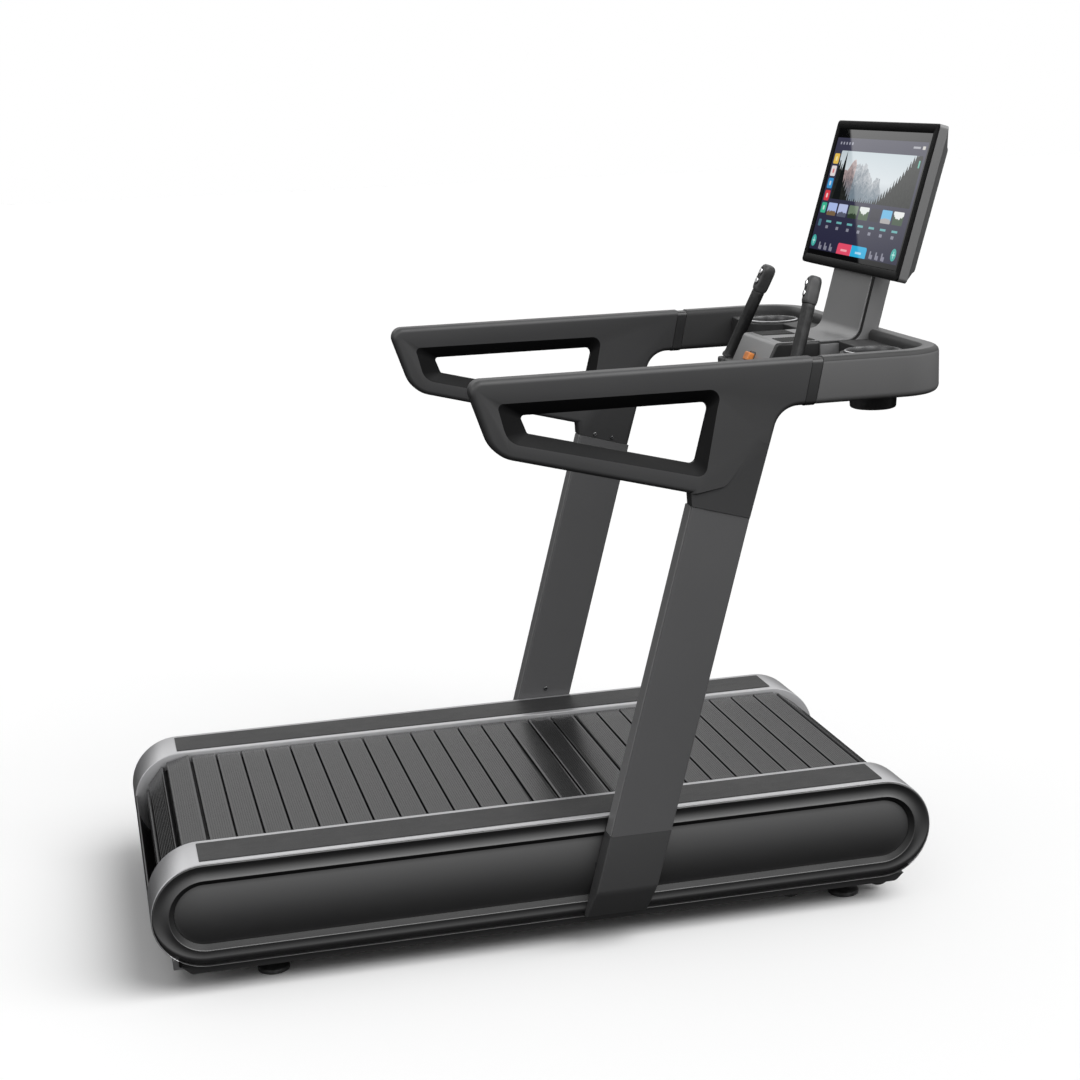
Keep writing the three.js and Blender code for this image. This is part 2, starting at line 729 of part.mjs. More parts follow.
[["right", -1], ["left", 1]].forEach(([name, side]) => {
  addNode(`${name}_roller_rail`, rollerRail(side), 0x7d8083, 0.4, 0.8);
  addNode(`${name}_front_bearing`, bearing(drumX, side), 0x3b3d40, 0.5, 0.7);
  addNode(`${name}_rear_bearing`, bearing(-drumX, side), 0x3b3d40, 0.5, 0.7);
  addNode(`${name}_rail_band`, railBand(side), lightBand, 0.35, 0.8);
  addNode(`${name}_side_cover`, sideCover(side), 0x2d2e2f, 0.5, 0);
  addNode(`${name}_side_panel`, sidePanel(side), 0x262627, 0.45, 0);
  addNode(`${name}_foot_strip`, footStrip(side), 0x1b1b1c, 0.9, 0);
  addNode(`${name}_upright`, upright(side), satinGrey, 0.4, 0.5);
  addNode(`${name}_upright_foot`, uprightFootCover(side), 0x333435, 0.5, 0);
  addNode(`${name}_handle`, handle(side), moulding, 0.6, 0);
  addNode(`${name}_joint_collar`, jointCollar(side), 0x1c1c1d, 0.6, 0);
  addNode(`${name}_cup_holder`, cupHolder(side), 0x232324, 0.5, 0);
  addNode(`${name}_grip`, grip(side), 0x1d1d1e, 0.6, 0);
  addNode(`${name}_grip_lower_button`, gripButton(side, buttonHeights[0]), 0xc9cbcd, 0.3, 0.8);
  addNode(`${name}_grip_upper_button`, gripButton(side, buttonHeights[1]), 0xc9cbcd, 0.3, 0.8);
  addNode(`${name}_wheel_bracket`, wheelBracket(side), 0x3b3d40, 0.5, 0.7);
  addNode(`${name}_rear_foot`, levellingFoot(footX[0], side), 0x1a1a1a, 0.8, 0);
  addNode(`${name}_front_foot`, levellingFoot(footX[1], side), 0x1a1a1a, 0.8, 0);
  addNode(`${name}_transport_wheel_rear`, transportWheel(wheelX[0], side), 0x1a1a1a, 0.8, 0);
  addNode(`${name}_transport_wheel_front`, transportWheel(wheelX[1], side), 0x1a1a1a, 0.8, 0);
});

export default group;
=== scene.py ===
import math

import bpy
from mathutils import Matrix, Vector


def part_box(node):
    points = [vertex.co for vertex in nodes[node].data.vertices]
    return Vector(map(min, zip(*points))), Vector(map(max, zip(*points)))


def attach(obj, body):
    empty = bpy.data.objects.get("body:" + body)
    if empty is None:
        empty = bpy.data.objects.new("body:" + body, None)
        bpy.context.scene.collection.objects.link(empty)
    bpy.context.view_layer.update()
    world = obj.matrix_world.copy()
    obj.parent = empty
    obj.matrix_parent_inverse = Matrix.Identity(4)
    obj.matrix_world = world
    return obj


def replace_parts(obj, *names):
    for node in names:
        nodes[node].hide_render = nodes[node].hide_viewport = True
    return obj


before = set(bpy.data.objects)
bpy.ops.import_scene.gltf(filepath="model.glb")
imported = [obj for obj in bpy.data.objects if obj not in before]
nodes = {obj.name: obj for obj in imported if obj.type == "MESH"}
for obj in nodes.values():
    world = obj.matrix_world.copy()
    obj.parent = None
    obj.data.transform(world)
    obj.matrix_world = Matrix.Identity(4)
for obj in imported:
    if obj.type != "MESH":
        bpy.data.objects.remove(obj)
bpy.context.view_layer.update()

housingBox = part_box("right_rail_band")
midX = (housingBox[0][0] + housingBox[1][0]) / 2
sides = (("right", -1), ("left", 1))


# helpers
def at(x, y, z):
    # millimetres from the middle of the base, to metres in the frame
    return Vector((midX + x / 1000, y / 1000, z / 1000))


def deselectAll():
    active = bpy.context.view_layer.objects.active
    if active is not None and active.mode != "OBJECT":
        bpy.ops.object.mode_set(mode="OBJECT")
    bpy.ops.object.select_all(action="DESELECT")


def pick(*pieces):
    deselectAll()
    for piece in pieces:
        piece.select_set(True)
    bpy.context.view_layer.objects.active = pieces[0]


def placeRing(piece, start, ring):
    points = piece.data.vertices
    for k, place in enumerate(ring):
        points[start + k].co = place


def ringLoft(name, rings, joined=False):
    # a circle whose edge is extruded ring by ring
    deselectAll()
    count = len(rings[0])
    bpy.ops.mesh.primitive_circle_add(vertices=count, radius=0.1, fill_type="NOTHING")
    piece = bpy.context.object
    piece.name = name
    placeRing(piece, 0, rings[0])
    for k, ring in enumerate(rings[1:], 1):
        bpy.ops.object.mode_set(mode="EDIT")
        bpy.ops.mesh.extrude_edges_move()
        bpy.ops.object.mode_set(mode="OBJECT")
        placeRing(piece, k * count, ring)
    if not joined:
        for first in (0, (len(rings) - 1) * count):
            fillRing(piece, range(first, first + count))
    bpy.ops.object.mode_set(mode="EDIT")
    bpy.ops.mesh.select_all(action="SELECT")
    bpy.ops.mesh.remove_doubles(threshold=0.000004)
    bpy.ops.mesh.normals_make_consistent(inside=False)
    bpy.ops.object.mode_set(mode="OBJECT")
    return piece


def fillRing(piece, wanted):
    bpy.ops.object.mode_set(mode="EDIT")
    bpy.ops.mesh.select_mode(type="VERT")
    bpy.ops.mesh.select_all(action="DESELECT")
    bpy.ops.object.mode_set(mode="OBJECT")
    for k in wanted:
        piece.data.vertices[k].select = True
    bpy.ops.object.mode_set(mode="EDIT")
    bpy.ops.mesh.edge_face_add()
    bpy.ops.object.mode_set(mode="OBJECT")


def slabAcross(name, outline, low, high):
    # an outline in X and Z, drawn out along Y
    return ringLoft(name, [[at(x, y, z) for x, z in outline] for y in (low, high)])


def slabUp(name, outline, low, high):
    # an outline in X and Y, drawn up along Z
    return ringLoft(name, [[at(x, y, z) for x, y in outline] for z in (low, high)])


def applyAll(piece):
    pick(piece)
    for modifier in list(piece.modifiers):
        bpy.ops.object.modifier_apply(modifier=modifier.name)


def bevelEdges(piece, width, segments=3, angle=30, weighted=True):
    pick(piece)
    bpy.ops.object.modifier_add(type="BEVEL")
    bevel = piece.modifiers[-1]
    bevel.width = width / 1000
    bevel.segments = segments
    bevel.limit_method = "ANGLE"
    bevel.angle_limit = math.radians(angle)
    bevel.miter_outer = "MITER_ARC"
    applyAll(piece)
    smooth(piece, 40)
    if weighted:
        bpy.ops.object.modifier_add(type="WEIGHTED_NORMAL")
        piece.modifiers[-1].keep_sharp = True
        applyAll(piece)


def bevelChosen(piece, wanted, width, segments):
    # rounds the edges for which wanted(a, b) holds
    pick(piece)
    bpy.ops.object.mode_set(mode="EDIT")
    bpy.ops.mesh.select_mode(type="EDGE")
    bpy.ops.mesh.select_all(action="DESELECT")
    bpy.ops.object.mode_set(mode="OBJECT")
    points = piece.data.vertices
    for edge in piece.data.edges:
        first, second = edge.vertices
        edge.select = wanted(points[first].co, points[second].co)
    bpy.ops.object.mode_set(mode="EDIT")
    bpy.ops.mesh.bevel(offset=width / 1000, segments=segments, affect="EDGES", clamp_overlap=False)
    bpy.ops.object.mode_set(mode="OBJECT")


def smooth(piece, angle=38):
    pick(piece)
    bpy.ops.object.shade_smooth_by_angle(angle=math.radians(angle))


def cutAway(piece, *cutters):
    for cutter in cutters:
        pick(piece)
        bpy.ops.object.modifier_add(type="BOOLEAN")
        piece.modifiers[-1].operation = "DIFFERENCE"
        piece.modifiers[-1].solver = "EXACT"
        piece.modifiers[-1].object = cutter
        applyAll(piece)
        pick(cutter)
        bpy.ops.object.delete()
    pick(piece)


def joinPieces(name, *pieces):
    pick(*pieces)
    if len(pieces) > 1:
        bpy.ops.object.join()
    pieces[0].name = name
    return pieces[0]


def copyPiece(piece, name):
    pick(piece)
    bpy.ops.object.duplicate(linked=False)
    made = bpy.context.object
    made.name = name
    return made


def rounded(points, steps=8):
    # a polygon with rounded corners; each point is (a, b, radius)
    made = []
    count = len(points)
    for k, (a, b, radius) in enumerate(points):
        here = Vector((a, b))
        if not radius:
            made.append((a, b))
            continue
        before = (Vector(points[k - 1][:2]) - here).normalized()
        after = (Vector(points[(k + 1) % count][:2]) - here).normalized()
        half = math.acos(max(-1, min(1, before.dot(after)))) / 2
        centre = here + (before + after).normalized() * radius / math.sin(half)
        start = here + before * radius / math.tan(half) - centre
        end = here + after * radius / math.tan(half) - centre
        first = math.atan2(start.y, start.x)
        turn = math.atan2(end.y, end.x) - first
        turn = math.atan2(math.sin(turn), math.cos(turn))
        for n in range(steps + 1):
            angle = first + turn * n / steps
            made.append((centre.x + radius * math.cos(angle), centre.y + radius * math.sin(angle)))
    return made


def outlineNormals(points):
    # outward directions at the points of an outline, longer at a sharp corner
    area = sum(a[0] * b[1] - b[0] * a[1] for a, b in zip(points, points[1:] + points[:1]))
    turn = 1 if area > 0 else -1
    made = []
    for k, point in enumerate(points):
        before = Vector(point) - Vector(points[k - 1])
        after = Vector(points[(k + 1) % len(points)]) - Vector(point)
        first = Vector((before.y, -before.x)).normalized() * turn
        second = Vector((after.y, -after.x)).normalized() * turn
        middle = (first + second).normalized()
        made.append(middle / max(0.35, middle.dot(first)))
    return made


def grown(points, amount):
    # an outline moved outwards by an amount, or inwards where it is negative
    ways = outlineNormals(points)
    return [(p[0] + w.x * amount, p[1] + w.y * amount) for p, w in zip(points, ways)]


def turned(name, profile, x, y, steps=40, upright=True):
    # a round piece about Z, or about Y; each profile point is (radius, along)
    rings = []
    for k in range(steps):
        angle = 2 * math.pi * k / steps
        ring = []
        for radius, along in profile:
            a = radius * math.cos(angle)
            b = radius * math.sin(angle)
            ring.append(at(x + a, y + b, along) if upright else at(x + a, along, y + b))
        rings.append(ring)
    count = len(profile)
    loops = [[rings[s][k] for s in range(steps)] for k in range(count)]
    piece = ringLoft(name, loops, joined=profile[0] == profile[-1])
    smooth(piece, 35)
    return piece


def finish(piece, material, body="machine", angle=38, keepShade=False):
    if not keepShade:
        smooth(piece, angle)
    piece.data.materials.clear()
    piece.data.materials.append(material)
    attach(piece, body)
    return piece


def paintNode(name, material):
    node = nodes[name]
    for k in range(len(node.data.materials)):
        node.data.materials[k] = material
    if not node.data.materials:
        node.data.materials.append(material)


# shader groups
def newGroup(name, inputs, outputs):
    group = bpy.data.node_groups.new(name, "ShaderNodeTree")
    for label, kind, value in inputs:
        socket = group.interface.new_socket(name=label, in_out="INPUT", socket_type=kind)
        if value is not None:
            socket.default_value = value
    for label, kind in outputs:
        group.interface.new_socket(name=label, in_out="OUTPUT", socket_type=kind)
    start = group.nodes.new("NodeGroupInput")
    end = group.nodes.new("NodeGroupOutput")
    return group, start, end


def feed(tree, socket, value):
    # links a socket to another one, or gives it a value
    if isinstance(value, bpy.types.NodeSocket):
        tree.links.new(value, socket)
    else:
        socket.default_value = value


def node(tree, kind, inputs=None, **settings):
    made = tree.nodes.new(kind)
    for label, value in settings.items():
        setattr(made, label, value)
    for label, value in (inputs or {}).items():
        feed(tree, made.inputs[label], value)
    return made


def maths(tree, operation, first, second=None, third=None, clamp=False):
    made = tree.nodes.new("ShaderNodeMath")
    made.operation = operation
    made.use_clamp = clamp
    for k, value in enumerate((first, second, third)):
        if value is not None:
            feed(tree, made.inputs[k], value)
    return made.outputs[0]


def mixColors(tree, factor, first, second, blend="MIX"):
    made = tree.nodes.new("ShaderNodeMix")
    made.data_type = "RGBA"
    made.blend_type = blend
    for k, value in ((0, factor), (6, first), (7, second)):
        if k and not isinstance(value, bpy.types.NodeSocket):
            value = (*value[:3], 1)
        feed(tree, made.inputs[k], value)
    return made.outputs[2]


def buildGrainGroup():
    # fine moulded grain: a height, and a mask of the grain's high spots
    group, start, end = newGroup(
        "mouldedGrain",
        [("Vector", "NodeSocketVector", None), ("Size", "NodeSocketFloat", 900.0)],
        [("Height", "NodeSocketFloat"), ("Mask", "NodeSocketFloat")])
    cells = node(group, "ShaderNodeTexVoronoi", {"Vector": start.outputs["Vector"],
                 "Scale": start.outputs["Size"]}, feature="SMOOTH_F1")
    fine = node(group, "ShaderNodeTexNoise", {"Vector": start.outputs["Vector"],
                "Scale": start.outputs["Size"], "Detail": 3.0})
    height = maths(group, "ADD", maths(group, "MULTIPLY", cells.outputs["Distance"], 0.6),
                   maths(group, "MULTIPLY", fine.outputs[0], 0.4))
    mask = maths(group, "GREATER_THAN", fine.outputs[0], 0.62)
    group.links.new(height, end.inputs["Height"])
    group.links.new(mask, end.inputs["Mask"])
    return group


def buildCloudGroup():
    # slow, slight changes over a surface, for colour and roughness
    group, start, end = newGroup(
        "slowClouds",
        [("Vector", "NodeSocketVector", None), ("Size", "NodeSocketFloat", 6.0)],
        [("Clouds", "NodeSocketFloat"), ("Smears", "NodeSocketFloat")])
    clouds = node(group, "ShaderNodeTexNoise", {"Vector": start.outputs["Vector"],
                  "Scale": start.outputs["Size"], "Detail": 4.0, "Roughness": 0.55})
    spread = node(group, "ShaderNodeMapping", {"Vector": start.outputs["Vector"],
                  "Scale": (1.0, 3.0, 3.0)})
    smears = node(group, "ShaderNodeTexNoise", {"Vector": spread.outputs[0],
                  "Scale": 22.0, "Detail": 6.0, "Roughness": 0.7})
    narrow = node(group, "ShaderNodeMapRange", {"Value": smears.outputs[0], "From Min": 0.3,
                  "From Max": 0.8})
    group.links.new(clouds.outputs[0], end.inputs["Clouds"])
    group.links.new(narrow.outputs[0], end.inputs["Smears"])
    return group


def buildWearGroup():
    # handled edges: convex places, broken up a little
    group, start, end = newGroup(
        "edgeWear",
        [("Vector", "NodeSocketVector", None), ("Reach", "NodeSocketFloat", 0.04)],
        [("Mask", "NodeSocketFloat")])
    shape = group.nodes.new("ShaderNodeNewGeometry")
    over = maths(group, "SUBTRACT", shape.outputs["Pointiness"], 0.5)
    edge = maths(group, "DIVIDE", over, start.outputs["Reach"], clamp=True)
    broken = node(group, "ShaderNodeTexNoise", {"Vector": start.outputs["Vector"], "Scale": 60.0,
                  "Detail": 4.0})
    narrow = node(group, "ShaderNodeMapRange", {"Value": broken.outputs[0], "From Min": 0.4,
                  "From Max": 0.62})
    group.links.new(maths(group, "MULTIPLY", edge, narrow.outputs[0]), end.inputs["Mask"])
    return group


def buildDustGroup():
    # a little dust on faces that look up
    group, start, end = newGroup(
        "settledDust",
        [("Vector", "NodeSocketVector", None), ("Amount", "NodeSocketFloat", 0.3)],
        [("Mask", "NodeSocketFloat")])
    shape = group.nodes.new("ShaderNodeNewGeometry")
    parts = node(group, "ShaderNodeSeparateXYZ", {"Vector": shape.outputs["Normal"]})
    up = node(group, "ShaderNodeMapRange", {"Value": parts.outputs["Z"], "From Min": 0.55,
              "From Max": 1.0})
    patches = node(group, "ShaderNodeTexNoise", {"Vector": start.outputs["Vector"], "Scale": 9.0,
                   "Detail": 8.0, "Roughness": 0.65})
    specks = node(group, "ShaderNodeMapRange", {"Value": patches.outputs[0], "From Min": 0.42,
                  "From Max": 0.7})
    mask = maths(group, "MULTIPLY", up.outputs[0], specks.outputs[0])
    mask = maths(group, "MULTIPLY", mask, start.outputs["Amount"])
    group.links.new(mask, end.inputs["Mask"])
    return group


grainGroup = buildGrainGroup()
cloudGroup = buildCloudGroup()
wearGroup = buildWearGroup()
dustGroup = buildDustGroup()


def useGroup(tree, group, inputs):
    return node(tree, "ShaderNodeGroup", inputs, node_tree=group)


def surface(name, look):
    # a material from a look: colour, second colour, roughness and its spread, metallic,
    # grain size and depth, wear, dust, coat
    made = bpy.data.materials.new(name)
    made.use_nodes = True
    tree = made.node_tree
    shader = tree.nodes["Principled BSDF"]
    place = tree.nodes.new("ShaderNodeTexCoord").outputs["Object"]
    clouds = useGroup(tree, cloudGroup, {"Vector": place, "Size": look.get("cloudSize", 6.0)})
    color = mixColors(tree, clouds.outputs["Clouds"], look["color"], look["color2"])
    if look.get("wear"):
        wear = useGroup(tree, wearGroup, {"Vector": place, "Reach": look.get("wearReach", 0.06)})
        wearMask = maths(tree, "MULTIPLY", wear.outputs["Mask"], look["wear"])
        color = mixColors(tree, wearMask, color, look.get("wearColor", (0.25, 0.25, 0.25)))
    dust = useGroup(tree, dustGroup, {"Vector": place, "Amount": look.get("dust", 0.08)})
    color = mixColors(tree, dust.outputs["Mask"], color, (0.32, 0.31, 0.30))
    grain = useGroup(tree, grainGroup, {"Vector": place, "Size": look.get("grain", 900.0)})
    speck = look.get("speck", 0.0)
    if speck:
        speckMask = maths(tree, "MULTIPLY", grain.outputs["Mask"], speck)
        color = mixColors(tree, speckMask, color, look.get("speckColor", (0.3, 0.3, 0.3)))
    tree.links.new(color, shader.inputs["Base Color"])
    low, high = look["rough"]
    rough = node(tree, "ShaderNodeMapRange", {"Value": clouds.outputs["Smears"],
                 "To Min": low, "To Max": high})
    dusty = maths(tree, "ADD", rough.outputs[0],
                  maths(tree, "MULTIPLY", dust.outputs["Mask"], 0.4), clamp=True)
    tree.links.new(dusty, shader.inputs["Roughness"])
    bump = node(tree, "ShaderNodeBump", {"Height": grain.outputs["Height"],
                "Strength": look.get("bump", 0.12), "Distance": look.get("depth", 0.0004)})
    tree.links.new(bump.outputs[0], shader.inputs["Normal"])
    shader.inputs["Metallic"].default_value = look.get("metal", 0.0)
    shader.inputs["Specular IOR Level"].default_value = look.get("specular", 0.5)
    shader.inputs["Coat Weight"].default_value = look.get("coat", 0.0)
    shader.inputs["Coat Roughness"].default_value = look.get("coatRough", 0.2)
    return made


def grey(low, lowBlue, high, highBlue, **look):
    # a look between two greys, each with its own share of blue
    return dict(color=(low, low, lowBlue), color2=(high, high, highBlue), **look)


looks = {
    "coverPlastic": grey(0.017, 0.0175, 0.021, 0.0215, specular=0.9, rough=(0.388, 0.433),
                         grain=1500.0, bump=0.05),
    "panelPlastic": grey(0.018, 0.0185, 0.022, 0.0225, specular=0.9, rough=(0.407, 0.453),
                         grain=1500.0, bump=0.05),
    "bandMetal": grey(0.46, 0.47, 0.5, 0.51, rough=(0.32, 0.34), metal=0.7, grain=2600.0,
                      bump=0.05, speck=0.12, speckColor=(0.6, 0.6, 0.61), dust=0.04),
    "stripGrit": grey(0.022, 0.0225, 0.027, 0.0275, specular=0.13, rough=(0.38, 0.46),
                      grain=620.0, bump=0.35, depth=0.0008, speck=0.3,
                      speckColor=(0.07, 0.07, 0.07), dust=0.04),
    "slatRubber": grey(0.007, 0.0073, 0.0095, 0.0099, specular=0.34, rough=(0.235, 0.255),
                       grain=1300.0, bump=0.03, dust=0.012, speck=0.04,
                       speckColor=(0.03, 0.03, 0.03)),
    "beltRubber": grey(0.012, 0.012, 0.018, 0.018, rough=(0.641, 0.709), grain=900.0, bump=0.2),
    "uprightPaint": grey(0.074, 0.076, 0.086, 0.088, rough=(0.447, 0.492), grain=1900.0,
                         bump=0.14, speck=0.1, speckColor=(0.17, 0.17, 0.175), dust=0.05),
    # painted light: a lighter copy of the upright paint for the strip over the post's rear face
    "postRearPaintedLight": grey(0.15, 0.152, 0.168, 0.17, rough=(0.42, 0.46), grain=1900.0, bump=0.1,
                      speck=0.08, speckColor=(0.26, 0.26, 0.265), dust=0.04),
    "uprightFoot": grey(0.044, 0.045, 0.052, 0.053, rough=(0.447, 0.492), grain=1500.0,
                        bump=0.08),
    "handleSoft": grey(0.03, 0.031, 0.039, 0.04, rough=(0.473, 0.527), grain=1150.0, bump=0.22,
                       speck=0.06, speckColor=(0.1, 0.1, 0.1)),
    "collarPlastic": grey(0.014, 0.0145, 0.02, 0.0205, rough=(0.333, 0.387), grain=1500.0,
                          bump=0.06),
    "ringPlastic": grey(0.124, 0.125, 0.142, 0.143, specular=0.14, rough=(0.427, 0.473),
                        grain=1700.0, bump=0.1),
    # painted shade: a darker copy of the ring plastic for the ring's upper round edge and inner
    # side
    "ringPaintedShade": grey(0.046, 0.0465, 0.056, 0.0565, specular=0.12, rough=(0.427, 0.473),
                     grain=1700.0, bump=0.1),
    "podSide": grey(0.016, 0.0163, 0.022, 0.0223, specular=0.4, rough=(0.33, 0.38),
                    grain=2100.0, bump=0.05),
    "trayPlastic": grey(0.028, 0.0285, 0.038, 0.0385, specular=0.25, rough=(0.453, 0.507),
                        grain=1300.0, bump=0.16),
    "cupPlastic": grey(0.04, 0.041, 0.05, 0.051, rough=(0.27, 0.32), metal=0.2, grain=1700.0,
                       bump=0.04, wear=0.2),
    "lipMetal": grey(0.52, 0.53, 0.62, 0.63, rough=(0.213, 0.267), metal=1.0, grain=2600.0,
                     bump=0.04, dust=0.02),
    "podSatin": grey(0.255, 0.257, 0.285, 0.287, rough=(0.367, 0.413), metal=0.25, grain=2100.0,
                     bump=0.06),
    "mastSatin": grey(0.255, 0.257, 0.28, 0.282, rough=(0.388, 0.433), metal=0.25, grain=2100.0,
                      bump=0.07),
    "mastBody": grey(0.185, 0.187, 0.205, 0.207, rough=(0.407, 0.453), metal=0.2, grain=1900.0,
                     bump=0.08),
    "matRubber": grey(0.01, 0.01, 0.016, 0.016, rough=(0.591, 0.659), grain=1300.0, bump=0.2,
                      dust=0.1),
    "keyPlastic": dict(color=(0.72, 0.2, 0.035), color2=(0.82, 0.27, 0.05),
                       rough=(0.347, 0.393), grain=1700.0, bump=0.08, wear=0.2,
                       wearColor=(0.95, 0.6, 0.25)),
    "gripRubber": grey(0.013, 0.0135, 0.019, 0.0195, specular=0.22, rough=(0.373, 0.427),
                       grain=1300.0, bump=0.14, wear=0.2),
    "gripHead": grey(0.046, 0.047, 0.056, 0.057, specular=0.35, rough=(0.373, 0.427),
                     grain=1700.0, bump=0.08, wear=0.25),
    "buttonChrome": grey(0.72, 0.73, 0.82, 0.83, rough=(0.128, 0.173), metal=1.0, grain=2600.0,
                         bump=0.03, dust=0.02),
    "bezelPlastic": grey(0.005, 0.0052, 0.007, 0.0072, specular=0.05, rough=(0.32, 0.37),
                         grain=1900.0, bump=0.06),
    "caseSide": grey(0.16, 0.161, 0.185, 0.186, rough=(0.413, 0.467), grain=1500.0, bump=0.12),
    "rearPlastic": grey(0.096, 0.097, 0.112, 0.113, rough=(0.473, 0.527), grain=1200.0,
                        bump=0.2),
    "guardPlastic": grey(0.012, 0.0125, 0.018, 0.0185, rough=(0.398, 0.462), grain=1300.0,
                         bump=0.12),
    "frameSteel": dict(color=(0.03, 0.031, 0.033), color2=(0.04, 0.041, 0.043),
                       rough=(0.464, 0.536), metal=0.5, grain=1100.0, bump=0.2, dust=0.2),
    "drumSteel": grey(0.42, 0.43, 0.5, 0.51, rough=(0.319, 0.381), metal=0.95, grain=2600.0,
                      bump=0.06, dust=0.1),
    "bracketSteel": dict(color=(0.07, 0.072, 0.075), color2=(0.09, 0.092, 0.095),
                         rough=(0.398, 0.462), metal=0.6, grain=1300.0, bump=0.16, dust=0.1),
    "liftSteel": grey(0.22, 0.225, 0.27, 0.275, rough=(0.333, 0.387), metal=0.8, grain=1700.0,
                      bump=0.1),
    "footRubber": grey(0.011, 0.0115, 0.017, 0.0175, rough=(0.544, 0.616), grain=1000.0,
                       bump=0.24, wear=0.25, dust=0.1),
    # painted shade: a darker, duller copy of the cover plastic for the step down to the panel
    "coverStepPaintedShade": grey(0.012, 0.0122, 0.016, 0.0162, specular=0.25, rough=(0.4, 0.45),
                        grain=1500.0, bump=0.05),
    # painted shade: a near-black copy of the handle plastic for the walls inside the handle's
    # window
    "handleWindowPaintedShade": grey(0.004, 0.0042, 0.006, 0.0063, specular=0.1, rough=(0.473, 0.527),
                        grain=1150.0, bump=0.22),
    # painted shade: near-black for the mast body's rounded side edges, where the seam beside the
    # face plate lies
    "mastSeamPaintedShade": grey(0.006, 0.006, 0.009, 0.009, specular=0.2, rough=(0.45, 0.5), grain=1500.0,
                      bump=0.05),
    "screwBlack": dict(color=(0.035, 0.036, 0.038), color2=(0.05, 0.051, 0.053),
                       rough=(0.293, 0.347), metal=0.9, grain=2600.0, bump=0.06, wear=0.4,
                       wearColor=(0.4, 0.4, 0.4)),
}
mats = {name: surface(name, look) for name, look in looks.items()}
print("materials ready")


# base housings
housing = dict(half=830, low=61, top=280, inner=284, bandOut=414.5, out=416, rimWidth=35,
               stepWidth=11, stepDeep=9.5, coveDeep=4.6, steps=26)
housingRadius = (housing["top"] - housing["low"]) / 2
housingMiddle = (housing["top"] + housing["low"]) / 2


def housingPath():
    # points round the long oval, each with its outward direction
    made = []
    straight = housing["half"] - housingRadius
    for end in (1, -1):
        first = -90 if end > 0 else 90
        for k in range(housing["steps"] + 1):
            angle = math.radians(first + 180 * k / housing["steps"])
            way = (math.cos(angle), math.sin(angle))
            made.append((end * straight, way))
            if k == housing["steps"]:
                for share in (0.25, 0.5, 0.75):
                    made.append((end * straight * (1 - 2 * share), (0.0, way[1])))
    return made


ovalPath = housingPath()


def ovalRing(side, inset, y):
    ring = []
    for middle, way in ovalPath:
        amount = inset(way) if callable(inset) else inset
        across = y(way) if callable(y) else y
        reach = housingRadius - amount
        ring.append(at(middle + reach * way[0], side * across, housingMiddle + reach * way[1]))
    return ring


def underness(way):
    return max(0.0, -way[1]) ** 1.4


def makeBand(name, side):
    # the light band over the housing's top and ends, with a flange on the belt side
    inner, out = housing["inner"], housing["bandOut"]
    shape = [(30, inner), (2.2, inner), (0.9, inner + 0.35), (0.2, inner + 1.2), (0, inner + 2.6),
             (0, out - 2.4), (0.2, out - 1.1), (0.8, out - 0.25), (1.7, out), (2.1, out - 0.4),
             (2.1, 403), (5, 403), (5, inner + 3), (30, inner + 3), (30, inner)]
    rings = [ovalRing(side, inset, y) for inset, y in shape]
    piece = ringLoft(name + "_band", rings, joined=True)
    slot = slabUp("wheelSlot", [(500, side * 320), (782, side * 320), (782, side * 356),
                                (500, side * 356)], 50, 80)
    cutAway(piece, slot)
    finish(piece, mats["bandMetal"], angle=32)
    piece.data.materials.append(mats["coverPlastic"])
    for face in piece.data.polygons:
        if face.center.z < 0.082:
            face.material_index = 1
    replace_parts(piece, name + "_rail_band")


def makeCover(name, side):
    # the dark rim: a hollow curve, then a step down to the panel
    out, rim, step = housing["out"], housing["rimWidth"], housing["stepWidth"]

    def edgeRadius(way):
        return 2.2 + 15 * underness(way)

    rings = [ovalRing(side, 2.4, 403.4)]
    for k in range(7):
        angle = math.radians(90 * k / 6)
        rings.append(ovalRing(
            side,
            lambda way, a=angle: 2.4 + edgeRadius(way) * (1 - math.cos(a)),
            lambda way, a=angle: out - edgeRadius(way) * (1 - math.sin(a))))
    for k in range(1, 12):
        share = k / 12
        rings.append(ovalRing(
            side,
            lambda way, s=share: 2.4 + edgeRadius(way) + (rim - 2.4 - edgeRadius(way)) * s,
            lambda way, s=share: out - housing["coveDeep"] * math.sin(math.pi * s)
            * (1 - 0.8 * underness(way))))
    for inset, y in ((rim - 0.3, out), (rim + 0.5, out - 0.25), (rim + 1.1, out - 0.9),
                     (rim + step - 0.6, out - housing["stepDeep"] + 0.4),
                     (rim + step, out - housing["stepDeep"]), (rim + step, 403.4), (2.4, 403.4)):
        rings.append(ovalRing(side, inset, y))
    piece = ringLoft(name + "_cover", rings, joined=True)
    finish(piece, mats["coverPlastic"], angle=30)
    # painted shade: the step down to the panel gets a darker, duller copy of the cover plastic
    piece.data.materials.append(mats["coverStepPaintedShade"])
    for face in piece.data.polygons:
        deep = abs(face.center.y) * 1000
        if abs(face.normal.y) < 0.9 and out - housing["stepDeep"] < deep < out - 0.6:
            reach = abs(face.center.z * 1000 - housingMiddle)
            if reach < housingRadius - rim + 1.5:
                face.material_index = 1
    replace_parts(piece, name + "_side_cover")


def makePanel(name, side):
    # the crowned panel inside the rim
    start = housing["rimWidth"] + housing["stepWidth"] + 0.8
    full = housingRadius - start
    rings = [ovalRing(side, start, 403.6), ovalRing(side, start, 405.6)]
    for k in range(1, 17):
        share = k / 16.5
        crown = 405.0 + 10.8 * (1 - (1 - share) ** 2)
        rings.append(ovalRing(side, start + full * share, crown))
    piece = ringLoft(name + "_panel", rings)
    finish(piece, mats["panelPlastic"], angle=40)
    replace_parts(piece, name + "_side_panel")


